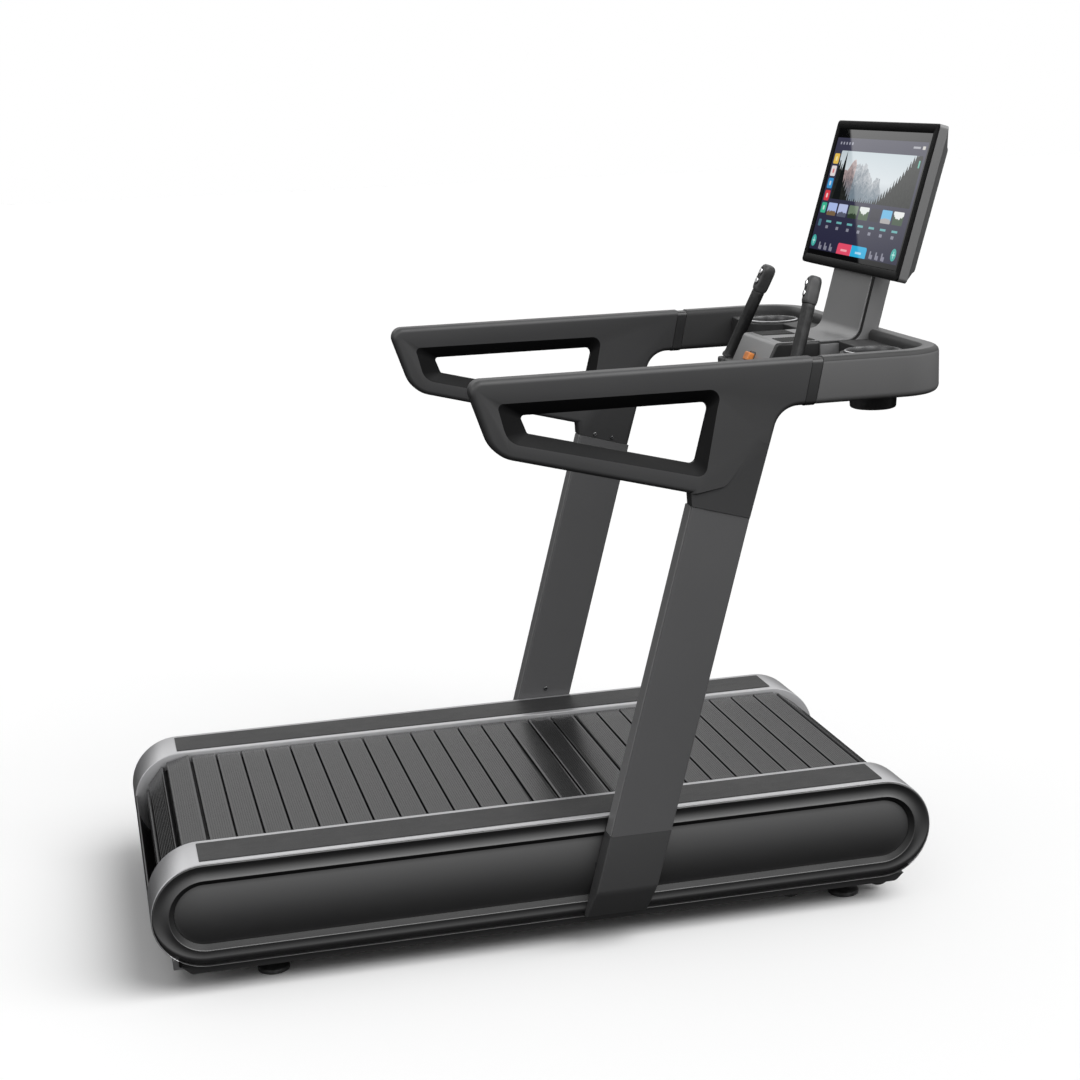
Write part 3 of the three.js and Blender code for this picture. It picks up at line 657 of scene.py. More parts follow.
def makeStrip(name, side):
    strip = dict(half=726, inner=300.3, outer=398.7, low=280.04, top=281.5, corner=3)
    points = [(-strip["half"], strip["inner"]), (strip["half"], strip["inner"]),
              (strip["half"], strip["outer"]), (-strip["half"], strip["outer"])]
    outline = rounded([(x, side * y, strip["corner"]) for x, y in points], 5)
    piece = slabUp(name + "_strip", outline, strip["low"], strip["top"])
    bevelEdges(piece, 0.5, 2)
    finish(piece, mats["stripGrit"], keepShade=True)
    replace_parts(piece, name + "_foot_strip")


for sideName, side in sides:
    makeBand(sideName, side)
    makeCover(sideName, side)
    makePanel(sideName, side)
    makeStrip(sideName, side)
print("housings made")


# slat belt
belt = dict(drumX=702.5, drumZ=172, pitchRadius=88, slats=59, width=53.2, half=279.6, top=12,
            thick=15, ribs=10, groove=0.6)


def beltSpot(along):
    # a place on the belt's path: x, z and how far it has turned
    straight = belt["drumX"] * 2
    turn = math.pi * belt["pitchRadius"]
    total = 2 * straight + 2 * turn
    along = along % total
    if along < straight:
        return along - belt["drumX"], belt["pitchRadius"], 0.0
    if along < straight + turn:
        angle = (along - straight) / belt["pitchRadius"]
        return (belt["drumX"] + belt["pitchRadius"] * math.sin(angle),
                belt["pitchRadius"] * math.cos(angle), angle)
    if along < 2 * straight + turn:
        return belt["drumX"] - (along - straight - turn), -belt["pitchRadius"], math.pi
    angle = math.pi + (along - 2 * straight - turn) / belt["pitchRadius"]
    return (-belt["drumX"] + belt["pitchRadius"] * math.sin(angle),
            belt["pitchRadius"] * math.cos(angle), angle)


def slatOutline():
    half, top, low = belt["width"] / 2, belt["top"], belt["top"] - belt["thick"]
    points = [(-half + 4, low), (-half + 4, low + 5), (-half, low + 6.5), (-half, top - 1.6),
              (-half + 0.6, top - 0.5), (-half + 1.8, top)]
    pitch = (belt["width"] - 3.6) / belt["ribs"]
    for k in range(1, belt["ribs"]):
        middle = -half + 1.8 + pitch * k
        points += [(middle - 0.8, top), (middle - 0.4, top - belt["groove"]),
                   (middle + 0.4, top - belt["groove"]), (middle + 0.8, top)]
    points += [(half - 1.8, top), (half - 0.6, top - 0.5), (half, top - 1.6), (half, low + 6.5),
               (half - 4, low + 5), (half - 4, low)]
    return points


def makeSlats():
    outline = slatOutline()
    rings = []
    for y in (-belt["half"], belt["half"]):
        rings.append([Vector((x / 1000, y / 1000, z / 1000)) for x, z in outline])
    model = ringLoft("slat_00", rings)
    smooth(model, 25)
    model.data.materials.append(mats["slatRubber"])
    total = 4 * belt["drumX"] + 2 * math.pi * belt["pitchRadius"]
    copies = [model] + [copyPiece(model, "slat_%02d" % k) for k in range(1, belt["slats"])]
    for k, piece in enumerate(copies):
        x, z, angle = beltSpot((k + 0.5) * total / belt["slats"] + belt["drumX"] - 12)
        place = Matrix.Translation(at(x, 0, belt["drumZ"] + z))
        piece.data.transform(place @ Matrix.Rotation(angle, 4, "Y"))
        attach(piece, "machine")
    return copies[0]


def makeToothedBelt(name, side):
    # the endless belt that the slats are bolted to, with shallow teeth inside
    path = []
    for end in (1, -1):
        for k in range(25):
            path.append((end * belt["drumX"], math.radians((90 if end > 0 else 270) - 7.5 * k)))
    rings = []
    for radius, y in ((83, 215), (83, 255), (81.4, 255), (79.6, 251), (79.6, 219), (81.4, 215),
                      (83, 215)):
        rings.append([at(x + radius * math.cos(a), side * y, belt["drumZ"] + radius * math.sin(a))
                      for x, a in path])
    piece = ringLoft(name, rings, joined=True)
    finish(piece, mats["beltRubber"], angle=25)


def makeCarcass():
    # the thin dark sheet under the slats
    path = []
    for end in (1, -1):
        for k in range(25):
            path.append((end * belt["drumX"], math.radians((90 if end > 0 else 270) - 7.5 * k)))
    rings = []
    for radius, y in ((84.9, -279), (84.9, 279), (84.6, 279.4), (83.4, 279.4), (83.2, 279),
                      (83.2, -279), (83.4, -279.4), (84.6, -279.4), (84.9, -279)):
        rings.append([at(x + radius * math.cos(a), y, belt["drumZ"] + radius * math.sin(a))
                      for x, a in path])
    piece = ringLoft("belt_carcass", rings, joined=True)
    finish(piece, mats["beltRubber"], angle=25)


makeCarcass()
firstSlat = makeSlats()
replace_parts(firstSlat, "slat_belt")
for sideName, side in sides:
    makeToothedBelt(sideName + "_inner_belt", side)
print("slats made")


# end guards, lift bar, feet and wheels
def makeGuard(name, end):
    guard = dict(middle=720.5, height=170.5, outer=109, inner=105, low=-88, high=10, half=283.6)
    steps = 30
    outline = []
    for k in range(steps + 1):
        angle = math.radians(guard["low"] + (guard["high"] - guard["low"]) * k / steps)
        outline.append((end * (guard["middle"] + guard["outer"] * math.cos(angle)),
                        guard["height"] + guard["outer"] * math.sin(angle)))
    for k in range(steps, -1, -1):
        angle = math.radians(guard["low"] + (guard["high"] - guard["low"]) * k / steps)
        outline.append((end * (guard["middle"] + guard["inner"] * math.cos(angle)),
                        guard["height"] + guard["inner"] * math.sin(angle)))
    piece = slabAcross(name, outline, -guard["half"], guard["half"])
    bevelEdges(piece, 1.3, 3, 50)
    finish(piece, mats["guardPlastic"], keepShade=True)
    return piece


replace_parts(makeGuard("front_end_guard", 1), "front_guard")
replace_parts(makeGuard("rear_end_guard", -1), "rear_guard")


def makeLiftBar():
    outline = rounded([(-791, 27, 2), (-765, 27, 1), (-765, 31, 1), (-779.5, 31, 4),
                       (-779.5, 49, 2), (-791, 49, 4)], 4)
    piece = slabAcross("lift_bar", outline, -335, 335)
    bevelEdges(piece, 1.2, 2, 50)
    straps = []
    for side in (-1, 1):
        strap = slabUp("strap", rounded([(-781, side * 190, 3), (-690, side * 190, 3),
                                         (-690, side * 240, 3), (-781, side * 240, 3)], 3),
                       39.5, 43.6)
        straps.append(strap)
    piece = joinPieces("lift_bar", piece, *straps)
    finish(piece, mats["liftSteel"], keepShade=True)
    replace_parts(piece, "rear_lift_bar")


makeLiftBar()


def makeFoot(name, body, x, side):
    profile = [(0.4, 0), (30, 0), (32.2, 1), (33, 3), (33, 8), (31.5, 10), (26, 11.5), (15, 14.5),
               (13, 16), (12, 24), (11, 26), (6.2, 26.6), (6, 28)]
    for k in range(8):
        profile += [(6.0, 29 + 2.2 * k), (5.3, 30.1 + 2.2 * k)]
    profile += [(6, 47), (6, 116), (0.4, 116)]
    piece = turned(name, profile, x, side * 328, 32)
    finish(piece, mats["footRubber"], body=body, angle=40)
    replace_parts(piece, body)


def makeWheel(name, body, x, side):
    profile = [(5.8, -10), (11, -10), (12, -8.4), (19, -8.4), (20, -9.6), (26, -9.8), (28.6, -8.6),
               (29.8, -6), (30, -3), (30, 3), (29.8, 6), (28.6, 8.6), (26, 9.8), (20, 9.6),
               (19, 8.4), (12, 8.4), (11, 10), (5.8, 10), (5.8, -10)]
    profile = [(radius, side * 338 + along) for radius, along in profile]
    piece = turned(name, profile, x, 42, 36, upright=False)
    finish(piece, mats["footRubber"], body=body, angle=35)
    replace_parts(piece, body)


for sideName, side in sides:
    for end, x in (("rear", -588), ("front", 665)):
        makeFoot(sideName + "_levelling_foot_" + end, "%s_%s_foot" % (sideName, end), x, side)
    for end, x in (("rear", 537), ("front", 742)):
        wheelBody = "%s_transport_wheel_%s" % (sideName, end)
        makeWheel(sideName + "_wheel_" + end, wheelBody, x, side)
print("underside made")


# uprights
upright = dict(inner=416.5, outer=460, rearX=104, rearZ=251.5, rearSlope=0.2739, frontX=233.8,
               frontZ=242.7, frontSlope=0.2756)


def rearEdge(z):
    return upright["rearX"] + upright["rearSlope"] * (z - upright["rearZ"])


def frontEdge(z):
    return upright["frontX"] + upright["frontSlope"] * (z - upright["frontZ"])


def makeUpright(name, side):
    outline = [(rearEdge(248) + 2.4, 248), (frontEdge(248), 248), (412.7, 891.6), (291.4, 925.9)]
    piece = slabAcross(name + "_post", outline, side * upright["inner"], side * upright["outer"])

    def along(a, b):
        # the four long edges
        return abs(a.y - b.y) < 0.001 and abs(a.z - b.z) > 0.5

    bevelChosen(piece, along, 4, 5)
    finish(piece, mats["uprightPaint"], angle=25)
    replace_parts(piece, name + "_upright")
    # painted light: a strip of lighter paint over the post's rear face makes that side lighter
    rearLightOutline = [(rearEdge(249), 249), (rearEdge(249) + 3, 249), (292.2, 925.4), (289.2, 925.9)]
    thinStrip = slabAcross(name + "_post_rear_painted_light", rearLightOutline, side * 420.4, side * 456.2)
    bevelEdges(thinStrip, 0.8, 3, 50)
    finish(thinStrip, mats["postRearPaintedLight"], keepShade=True)


def makeUprightFoot(name, side):
    # the cover under the post, its outer face bending in at the bottom
    rows = ((247.6, 460), (134, 460), (128, 458.8), (120, 456.2), (68, 432))
    rings = []
    for z, outer in rows:
        back, front, inner = rearEdge(z), frontEdge(z), upright["inner"]
        ring = rounded([(back, inner, 1), (front, inner, 1), (front, outer, 4),
                        (back, outer, 4)], 5)
        rings.append([at(x, side * y, z) for x, y in ring])
    piece = ringLoft(name + "_post_cover", rings)
    finish(piece, mats["uprightFoot"], angle=30)
    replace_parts(piece, name + "_upright_foot")


for sideName, side in sides:
    makeUpright(sideName, side)
    makeUprightFoot(sideName, side)
print("uprights made")


# handles
handle = dict(inner=423, outer=467, edge=11, window=17, windowEdge=2.0)
handleOutline = [
    (289.2, 927.6, 0), (413, 892.5, 0), (478, 1114, 52), (527, 1114, 0), (547, 1209.5, 0),
    (-160, 1210, 24), (-109, 1058, 72), (288, 954, 0)]
handleFace = [(-100, 1162, 10), (354, 1160, 20), (318, 984, 18), (-80, 1084, 40)]
handleThroat = [(-52, 1134.5, 6), (334, 1134, 14), (301, 1010, 12), (-38, 1097, 10)]
stemStep = [(240, 840, 0), (440, 840, 0), (560, 1130, 0), (430, 1060, 40), (392, 1004, 30),
            (362, 962, 26), (300, 951, 10), (240, 962, 0)]


def makeHandle(name, side):
    outline = rounded(handleOutline, 12)
    low, high = side * handle["inner"], side * handle["outer"]
    piece = slabAcross(name + "_loop_handle", outline, low, high)

    def rim(a, b):
        # the edges round both faces, but not at the two seams
        if abs(a.y - b.y) > 0.001:
            return False
        middle = (a + b) / 2
        x, z = (middle.x - midX) * 1000, middle.z * 1000
        atStem = abs((z - 927.6) - (892.5 - 927.6) * (x - 289.2) / (413 - 289.2)) < 1.5 and x < 420
        atCollar = abs((x - 527) - 20 * (z - 1114) / 95.5) < 1.5 and z > 1113
        return not (atStem and z < 930) and not atCollar

    bevelChosen(piece, rim, handle["edge"], 7)
    face, throat = rounded(handleFace, 9), rounded(handleThroat, 9)
    wide = [(a[0] + (a[0] - b[0]) * 0.2, a[1] + (a[1] - b[1]) * 0.2) for a, b in zip(face, throat)]
    deep = handle["window"]
    stations = ((wide, handle["outer"] + deep * 0.2), (throat, handle["outer"] - deep),
                (throat, handle["inner"] + deep), (wide, handle["inner"] - deep * 0.2))
    window = ringLoft("window", [[at(x, side * y, z) for x, z in ring] for ring, y in stations])
    cutAway(piece, window)
    bevelEdges(piece, handle["windowEdge"], 3, 24, weighted=False)
    cutStem(piece, side)
    finish(piece, mats["handleSoft"], angle=34)
    # painted shade: the sloped walls inside the window get a near-black copy of the handle plastic
    piece.data.materials.append(mats["handleWindowPaintedShade"])
    opening = grown(face, 2)
    for facet in piece.data.polygons:
        spot = ((facet.center.x - midX) * 1000, facet.center.z * 1000)
        if isInside(spot, opening) and abs(facet.normal.y) < 0.97:
            facet.material_index = 1
    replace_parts(piece, name + "_handle")


def isInside(spot, outline):
    # whether a point is inside an outline
    inside = False
    for a, b in zip(outline, outline[1:] + outline[:1]):
        if (a[1] > spot[1]) != (b[1] > spot[1]):
            if spot[0] < a[0] + (b[0] - a[0]) * (spot[1] - a[1]) / (b[1] - a[1]):
                inside = not inside
    return inside


def cutStem(piece, side):
    # the stem's outer face sits lower than the end of the loop's lower bar
    outline = rounded(stemStep, 8)
    rings = []
    steps = 7
    for k in range(steps + 1):
        angle = math.radians(90 * k / steps)
        ring = []
        for x, z in grown(outline, 9 * (1 - math.cos(angle))):
            fade = min(1, max(0, (1005 - z) / 70))
            ring.append(at(x, side * (handle["outer"] - 7 * fade + 7 * math.sin(angle) * 1.02), z))
        rings.append(ring)
    rings.append([at(x, side * 480, z) for x, z in grown(outline, 9)])
    cutter = ringLoft("stemCut", rings)
    cutAway(piece, cutter)


def makeCollar(name, side):
    collar = dict(low=1112.5, top=1206.5, inner=424.4, outer=465.6)
    outline = [(547.8, collar["top"]), (528.3, collar["low"]), (549.8, collar["low"]),
               (569.4, collar["top"])]
    piece = slabAcross(name + "_collar", outline, side * collar["inner"], side * collar["outer"])

    def longEdges(a, b):
        return abs(a.y - b.y) < 0.001 and abs(a.z - b.z) < 0.001

    bevelChosen(piece, longEdges, 10, 6)
    finish(piece, mats["collarPlastic"], angle=30)
    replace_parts(piece, name + "_joint_collar")


for sideName, side in sides:
    makeHandle(sideName, side)
    makeCollar(sideName, side)
print("handles made")


# console
ring = dict(low=1114, top=1209, front=856, out=467, radius=111, wide=44, fillet=14)


def ringSection(steps=5):
    # across the bar (out from its middle line) and up
    half = ring["wide"] / 2
    high, low, r = ring["top"], ring["low"], ring["fillet"]
    return rounded([(half, low, r), (half, high, r), (-half, high, r), (-half, low, r)], steps)


def makeConsoleRing():
    half = ring["wide"] / 2
    middleOut = ring["out"] - half
    radius = ring["radius"] - half
    frontX = ring["front"] - half
    section = ringSection()
    stations = []
    for side in (-1, 1):
        part = [((frontX - radius) * share + 551 * (1 - share), side * middleOut, 0.0, side, share)
                for share in (0, 0.02, 0.34, 0.67)]
        for k in range(15):
            angle = math.radians(90 * k / 14)
            part.append((frontX - radius + radius * math.sin(angle),
                         side * (middleOut - radius + radius * math.cos(angle)), angle, side, 1))
        stations += part if side < 0 else part[::-1]
    rings = []
    for x, y, angle, side, share in stations:
        out = Vector((math.sin(angle), side * math.cos(angle)))
        loop = []
        for across, z in section:
            slant = (z - 1113.5) * 0.2096 * (1 - share) if share < 0.03 else 0
            loop.append(at(x + out.x * across + slant, y + out.y * across, z))
        rings.append(loop)
    piece = ringLoft("console_bar", rings)
    finish(piece, mats["ringPlastic"], angle=30)
    piece.data.materials.append(mats["ringPaintedShade"])
    for face in piece.data.polygons:
        # painted shade: the upper round edge and the side that looks inwards get a darker copy of
        # the ring plastic
        inward = at(700, 0, 0) - face.center
        inside = face.normal.x * inward.x + face.normal.y * inward.y > 0
        if 0.25 < face.normal.z < 0.97 or (inside and face.normal.z < 0.9):
            face.material_index = 1
    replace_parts(piece, "console_ring")


makeConsoleRing()

cup = dict(x=743, y=302, lobe=70)


def makeTray():
    half = rounded([(811.7, 0, 0), (811.7, 422.7, 66.7), (673, 422.7, 14)], 8)
    lobe = []
    for k in range(13):
        angle = math.pi + (math.pi / 2) * k / 12
        lobe.append((cup["x"] + cup["lobe"] * math.cos(angle),
                     cup["y"] + cup["lobe"] * math.sin(angle)))
    left = half + lobe + [(743, 114)]
    outline = left + [(x, -y) for x, y in reversed(left[1:])]
    piece = slabUp("console_shelf", outline, 1120, 1188)
    for side in (-1, 1):
        hole = turned("cupHole", [(0.5, 1100), (56.4, 1100), (56.4, 1200), (0.5, 1200)], cup["x"],
                      side * cup["y"], 48)
        cutAway(piece, hole)
    bevelEdges(piece, 3.0, 3, 40)
    finish(piece, mats["trayPlastic"], keepShade=True)
    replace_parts(piece, "console_tray")


makeTray()


def makeCup(name, side):
    profile = [(0.4, 1071), (44, 1071), (47, 1072.4), (48.4, 1075), (54.6, 1180), (55.2, 1188.2),
               (60, 1188.2), (60.6, 1189), (60.2, 1190.6), (58, 1192), (55.5, 1192.3),
               (53, 1191.4), (51.6, 1189), (51.2, 1180), (46.6, 1079), (44, 1076), (0.4, 1075.6)]
    piece = turned(name + "_cup", profile, cup["x"], side * cup["y"], 56)
    finish(piece, mats["cupPlastic"], angle=40)
    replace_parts(piece, name + "_cup_holder")
    thinStrip = [(55.4, 1192.1), (58.4, 1191.9), (59.6, 1191.0), (59.9, 1191.5), (58.6, 1192.4),
            (55.4, 1192.5), (55.4, 1192.1)]
    ringPiece = turned(name + "_cup_ring", thinStrip, cup["x"], side * cup["y"], 56)
    finish(ringPiece, mats["lipMetal"], angle=60)


for sideName, side in sides:
    makeCup(sideName, side)


def makePod():
    outline = rounded([(601, 1191, 12), (699.6, 1190, 0), (699.6, 1085, 0), (556, 1085, 20),
                       (571, 1129, 0)], 7)
    piece = slabAcross("pod_case", outline, -107, 107)

    def sideRims(a, b):
        return abs(a.y - b.y) < 0.001 and abs(a.y) > 0.1 and min(a.x, b.x) < 0.6465

    bevelChosen(piece, sideRims, 7, 5)
    finish(piece, mats["podSatin"], angle=30)
    piece.data.materials.append(mats["podSide"])
    for face in piece.data.polygons:
        if abs(face.normal.y) > 0.35:
            face.material_index = 1
    bar = turned("pod_bar", [(0.4, -222), (13, -222), (14, -221), (14, 221), (13, 222), (0.4, 222)],
                 593, 1110, 32, upright=False)
    finish(bar, mats["collarPlastic"], angle=40)
    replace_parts(piece, "console_pod")


makePod()


def makeMats():
    # two ribbed mats beside a plain strip on the pod's top
    for name, low, high in (("right", -93, -30), ("left", 30, 93)):
        points = []
        for k in range(13):
            middle = 622 + 70 * k / 12
            points += [(middle - 1.9, 1191.3), (middle - 1.4, 1192.3), (middle + 1.4, 1192.3),
                       (middle + 1.9, 1191.3)]
        outline = [(618.5, 1190.1), (618.5, 1191.3)] + points + [(695.5, 1191.3), (695.5, 1190.1)]
        piece = slabAcross(name + "_pod_mat", outline, low, high)
        finish(piece, mats["matRubber"], angle=25)
        if name == "right":
            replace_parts(piece, "phone_mat")


makeMats()


def makeKey():
    out = Vector((-62, 0, 30)).normalized()
    across = Vector((0, -1, 0))
    up = out.cross(across)
    place = Matrix((out, across, up)).transposed().to_4x4()
    place.translation = at(580.2, 0, 1148)
    outline = rounded([(-15, -10, 4), (15, -10, 4), (15, 10, 4), (-15, 10, 4)], 5)
    stations = ((0.4, 0), (9, 0), (11.5, -0.6), (13, -2.2))
    rings = []
    for depth, grow in stations:
        rings.append([place @ Vector((depth / 1000, y / 1000, z / 1000))
                      for y, z in grown(outline, grow)])
    head = ringLoft("pull_key", rings)
    stemOutline = [(-9, -4), (9, -4), (9, 4), (-9, 4)]
    stem = ringLoft("stem", [[place @ Vector((d / 1000, y / 1000, z / 1000))
                              for y, z in stemOutline] for d in (-5.5, 1.5)])
    piece = joinPieces("pull_key", head, stem)
    finish(piece, mats["keyPlastic"], body="safety_key", angle=40)
    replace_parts(piece, "safety_key")
    frameOutline = grown(outline, 2.6)
    loops = []
    for depth, ringPoints in ((0.05, grown(frameOutline, 3)), (1.0, grown(frameOutline, 2.4)),
                              (1.4, grown(frameOutline, 1.2)), (1.4, frameOutline),
                              (0.05, frameOutline), (0.05, grown(frameOutline, 3))):
        loops.append([place @ Vector((depth / 1000, y / 1000, z / 1000)) for y, z in ringPoints])
    escutcheon = ringLoft("key_surround", loops, joined=True)
    finish(escutcheon, mats["collarPlastic"], angle=40)


makeKey()


# mast
def mastPath():
    # the mast's upper and rear surface, from the pod up to the screen
    lean = math.tan(math.radians(15))
    return rounded([(700.3, 1190, 0), (785.4, 1190, 30), (785.4 + lean * 190, 1380, 0)], 12)


def makeMast():
    lean = math.tan(math.radians(15))
    back = 785.4 + 45 / math.cos(math.radians(15))
    outline = rounded([(700.3, 1187.4, 0), (787.6, 1187.4, 30), (787.6 + lean * 190, 1377.4, 0),
                       (back + lean * 190, 1380, 0), (back - lean * 45, 1145, 75),
                       (700.3, 1145, 0)], 12)
    piece = slabAcross("mast_body", outline, -113, 113)

    def sideRims(a, b):
        return abs(a.y - b.y) < 0.001 and abs(a.y) > 0.1 and max(a.x, b.x) > 0.648

    bevelChosen(piece, sideRims, 6, 5)
    cutter = screenSlab("mastCut", -60, 160, 400, 24, 400, 0)
    cutAway(piece, cutter)
    front = screenSlab("mastCut", -60, 23.2, 400, -0.4, 80, 0)
    cutAway(piece, front)
    finish(piece, mats["mastBody"], angle=30)
    # painted shade: the mast body's rounded side edges get a near-black material, so the seam
    # beside the face plate reads dark
    piece.data.materials.append(mats["mastSeamPaintedShade"])
    for face in piece.data.polygons:
        if 0.2 < abs(face.normal.y) < 0.98 and face.normal.x < 0.3:
            face.material_index = 1
    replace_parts(piece, "mast")
    path = mastPath()[:-1]
    topX, topZ = 785.4 + lean * 146, 1336.0
    path = path + [(topX, topZ)]
    ways = pathNormals(path)
    rings = []
    for (x, z), way in zip(path, ways):
        loop = []
        for y, lift in ((-109, -2.2), (-109, -0.5), (-108.4, 0), (108.4, 0), (109, -0.5),
                        (109, -2.2)):
            loop.append(at(x + way.x * lift, y, z + way.y * lift))
        rings.append(loop)
    plate = ringLoft("mast_face", rings)
    under = screenSlab("mastCut", -8, 60, 400, -0.4, 200, 0)
    cutAway(plate, under)
    finish(plate, mats["mastSatin"], angle=30)


def pathNormals(path):
    made = []
    for k in range(len(path)):
        before = Vector(path[max(0, k - 1)])
        after = Vector(path[min(len(path) - 1, k + 1)])
        way = (after - before).normalized()
        made.append(Vector((-way.y, way.x)))
    return made


# screen
screen = dict(x=806, z=1328, tilt=16.37, wide=555, tall=333.5, deep=23, cover=50, bezel=20)


def screenPlace():
    place = Matrix.Rotation(math.radians(screen["tilt"]), 4, "Y")
    place.translation = at(screen["x"], 0, screen["z"])
    return place


onScreen = screenPlace()


def screenRing(depth, outline):
    return [onScreen @ Vector((depth / 1000, y / 1000, z / 1000)) for y, z in outline]


def screenSlab(name, near, far, half, low, high, corner=4):
    points = rounded([(-half, low, corner), (half, low, corner), (half, high, corner),
                      (-half, high, corner)], 6)
    return ringLoft(name, [screenRing(near, points), screenRing(far, points)])


def makeScreenFrame():
    half, tall = screen["wide"] / 2, screen["tall"]
    outer = rounded([(-half, 0, 9), (half, 0, 9), (half, tall, 9), (-half, tall, 9)], 8)
    edge = screen["bezel"]
    inner = rounded([(-half + edge, edge, 3), (half - edge, edge, 3), (half - edge, tall - edge, 3),
                     (-half + edge, tall - edge, 3)], 8)
    rings = [screenRing(depth, grown(outer, grow)) for depth, grow in (
        (screen["deep"] - 0.4, -1.2), (screen["deep"] - 1.2, 0), (3.0, 0), (1.2, -0.5), (0.2, -1.8),
        (0, -3.4))]
    rings += [screenRing(0, grown(inner, 1.2)), screenRing(0.4, grown(inner, 0.5)),
              screenRing(1.4, inner), screenRing(screen["deep"] - 0.4, inner), rings[0]]
    piece = ringLoft("screen_bezel", rings, joined=True)
    finish(piece, mats["bezelPlastic"], angle=30)
    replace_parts(piece, "screen_frame")
    band = []
    for depth, grow in ((screen["deep"] - 0.6, 0.02), (screen["deep"] - 0.6, 0.35), (3.4, 0.35),
                        (3.0, 0.02), (screen["deep"] - 0.6, 0.02)):
        band.append(screenRing(depth, grown(outer, grow)))
    sideBand = ringLoft("screen_side", band, joined=True)
    finish(sideBand, mats["caseSide"], angle=30)


def makeScreenCover():
    half, tall, deep = screen["wide"] / 2, screen["tall"], screen["deep"] + 0.1
    outer = rounded([(-half + 3, 3, 8), (half - 3, 3, 8), (half - 3, tall - 3, 8),
                     (-half + 3, tall - 3, 8)], 6)
    back = rounded([(-half + 35, 28, 8), (half - 35, 28, 8), (half - 35, tall - 42, 8),
                    (-half + 35, tall - 42, 8)], 6)
    middle = [((a[0] * 0.14 + b[0] * 0.86), (a[1] * 0.14 + b[1] * 0.86))
              for a, b in zip(outer, back)]
    rings = [screenRing(deep - 17, grown(outer, -12)), screenRing(deep, grown(outer, -12)),
             screenRing(deep, grown(outer, -1)), screenRing(deep + 1, outer),
             screenRing(screen["cover"] - 5, middle),
             screenRing(screen["cover"] - 1.4, [(a[0] * 0.4 + b[0] * 0.6, a[1] * 0.4 + b[1] * 0.6)
                                                for a, b in zip(middle, back)]),
             screenRing(screen["cover"], grown(back, -3))]
    piece = ringLoft("screen_back", rings)
    slots = []
    for row in range(5):
        for side in (-1, 1):
            z = 196 + 12 * row
            points = rounded([(side * 60, z, 2), (side * 190, z, 2), (side * 190, z + 4.5, 2),
                              (side * 60, z + 4.5, 2)], 4)
            slots.append(ringLoft("vent", [screenRing(d, points) for d in (46.5, 56)]))
    socket = screenSlab("mastSocket", 29, 39, 61.5, -10, 92, 2)
    cutAway(piece, *slots, socket)
    finish(piece, mats["rearPlastic"], angle=28)
    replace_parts(piece, "screen_rear_cover")
    for y, z in ((-215, 60), (215, 60), (-215, 270), (215, 270), (-90, 60), (90, 60)):
        makeScrew("screen_screw_%d_%d" % (y + 300, z),
                  onScreen @ Vector((0.0499, y / 1000, z / 1000)),
                  onScreen.to_3x3() @ Vector((1, 0, 0)), 4.2)


screwCount = [0]


def makeScrew(name, place, way, radius, material="screwBlack", body="machine"):
    # a button-head screw with a hex socket, standing on a face
    turn = way.normalized().to_track_quat("Z", "Y").to_matrix().to_4x4()
    turn.translation = place
    loops = []
    for r, h, sharp in ((1.0, -0.2, 0), (1.0, 0.12, 0), (0.93, 0.34, 0), (0.76, 0.5, 0),
                        (0.56, 0.56, 0), (0.5, 0.5, 1), (0.5, 0.05, 1)):
        loop = []
        for k in range(24):
            angle = math.radians(15 * k)
            reach = r
            if sharp:
                inSector = (math.degrees(angle) % 60) - 30
                reach = r * math.cos(math.radians(30)) / math.cos(math.radians(inSector))
            loop.append(turn @ Vector((reach * radius * math.cos(angle) / 1000,
                                       reach * radius * math.sin(angle) / 1000, h * radius / 1000)))
        loops.append(loop)
    piece = ringLoft(name, loops)
    screwCount[0] += 1
    finish(piece, mats[material], body=body, angle=35)
    return piece


makeMast()
makeScreenFrame()
makeScreenCover()
print("console made")


# grips
gripBase = (593.4, 208, 1110)
gripRun = (65.4, -52.6, 172.4)


def gripPlace(side):
    along = Vector((gripRun[0], side * gripRun[1], gripRun[2])).normalized()
    forward = (Vector((1, 0, 0)) - along * along.x).normalized()
    across = along.cross(forward)
    place = Matrix((forward, across, along)).transposed().to_4x4()
    place.translation = at(gripBase[0], side * gripBase[1], gripBase[2])
    return place


def superRing(place, halfX, halfY, height, power, shift=0.0, steps=32):
    # a squared-off round section across the grip
    ring = []
    for k in range(steps):
        angle = 2 * math.pi * k / steps
        c, s = math.cos(angle), math.sin(angle)
        x = halfX * math.copysign(abs(c) ** (2 / power), c) + shift
        y = halfY * math.copysign(abs(s) ** (2 / power), s)
        ring.append(place @ Vector((x / 1000, y / 1000, height / 1000)))
    return ring


def buttonWell(place, height):
    # the oval hole that a button is pressed into
    rings = []
    for depth in (-22, -12.2):
        rings.append([place @ Vector((depth / 1000, 6.0 * math.cos(math.pi * k / 14) / 1000,
                                      (height + 7.4 * math.sin(math.pi * k / 14)) / 1000))
                      for k in range(28)])
    return ringLoft("buttonWell", rings)


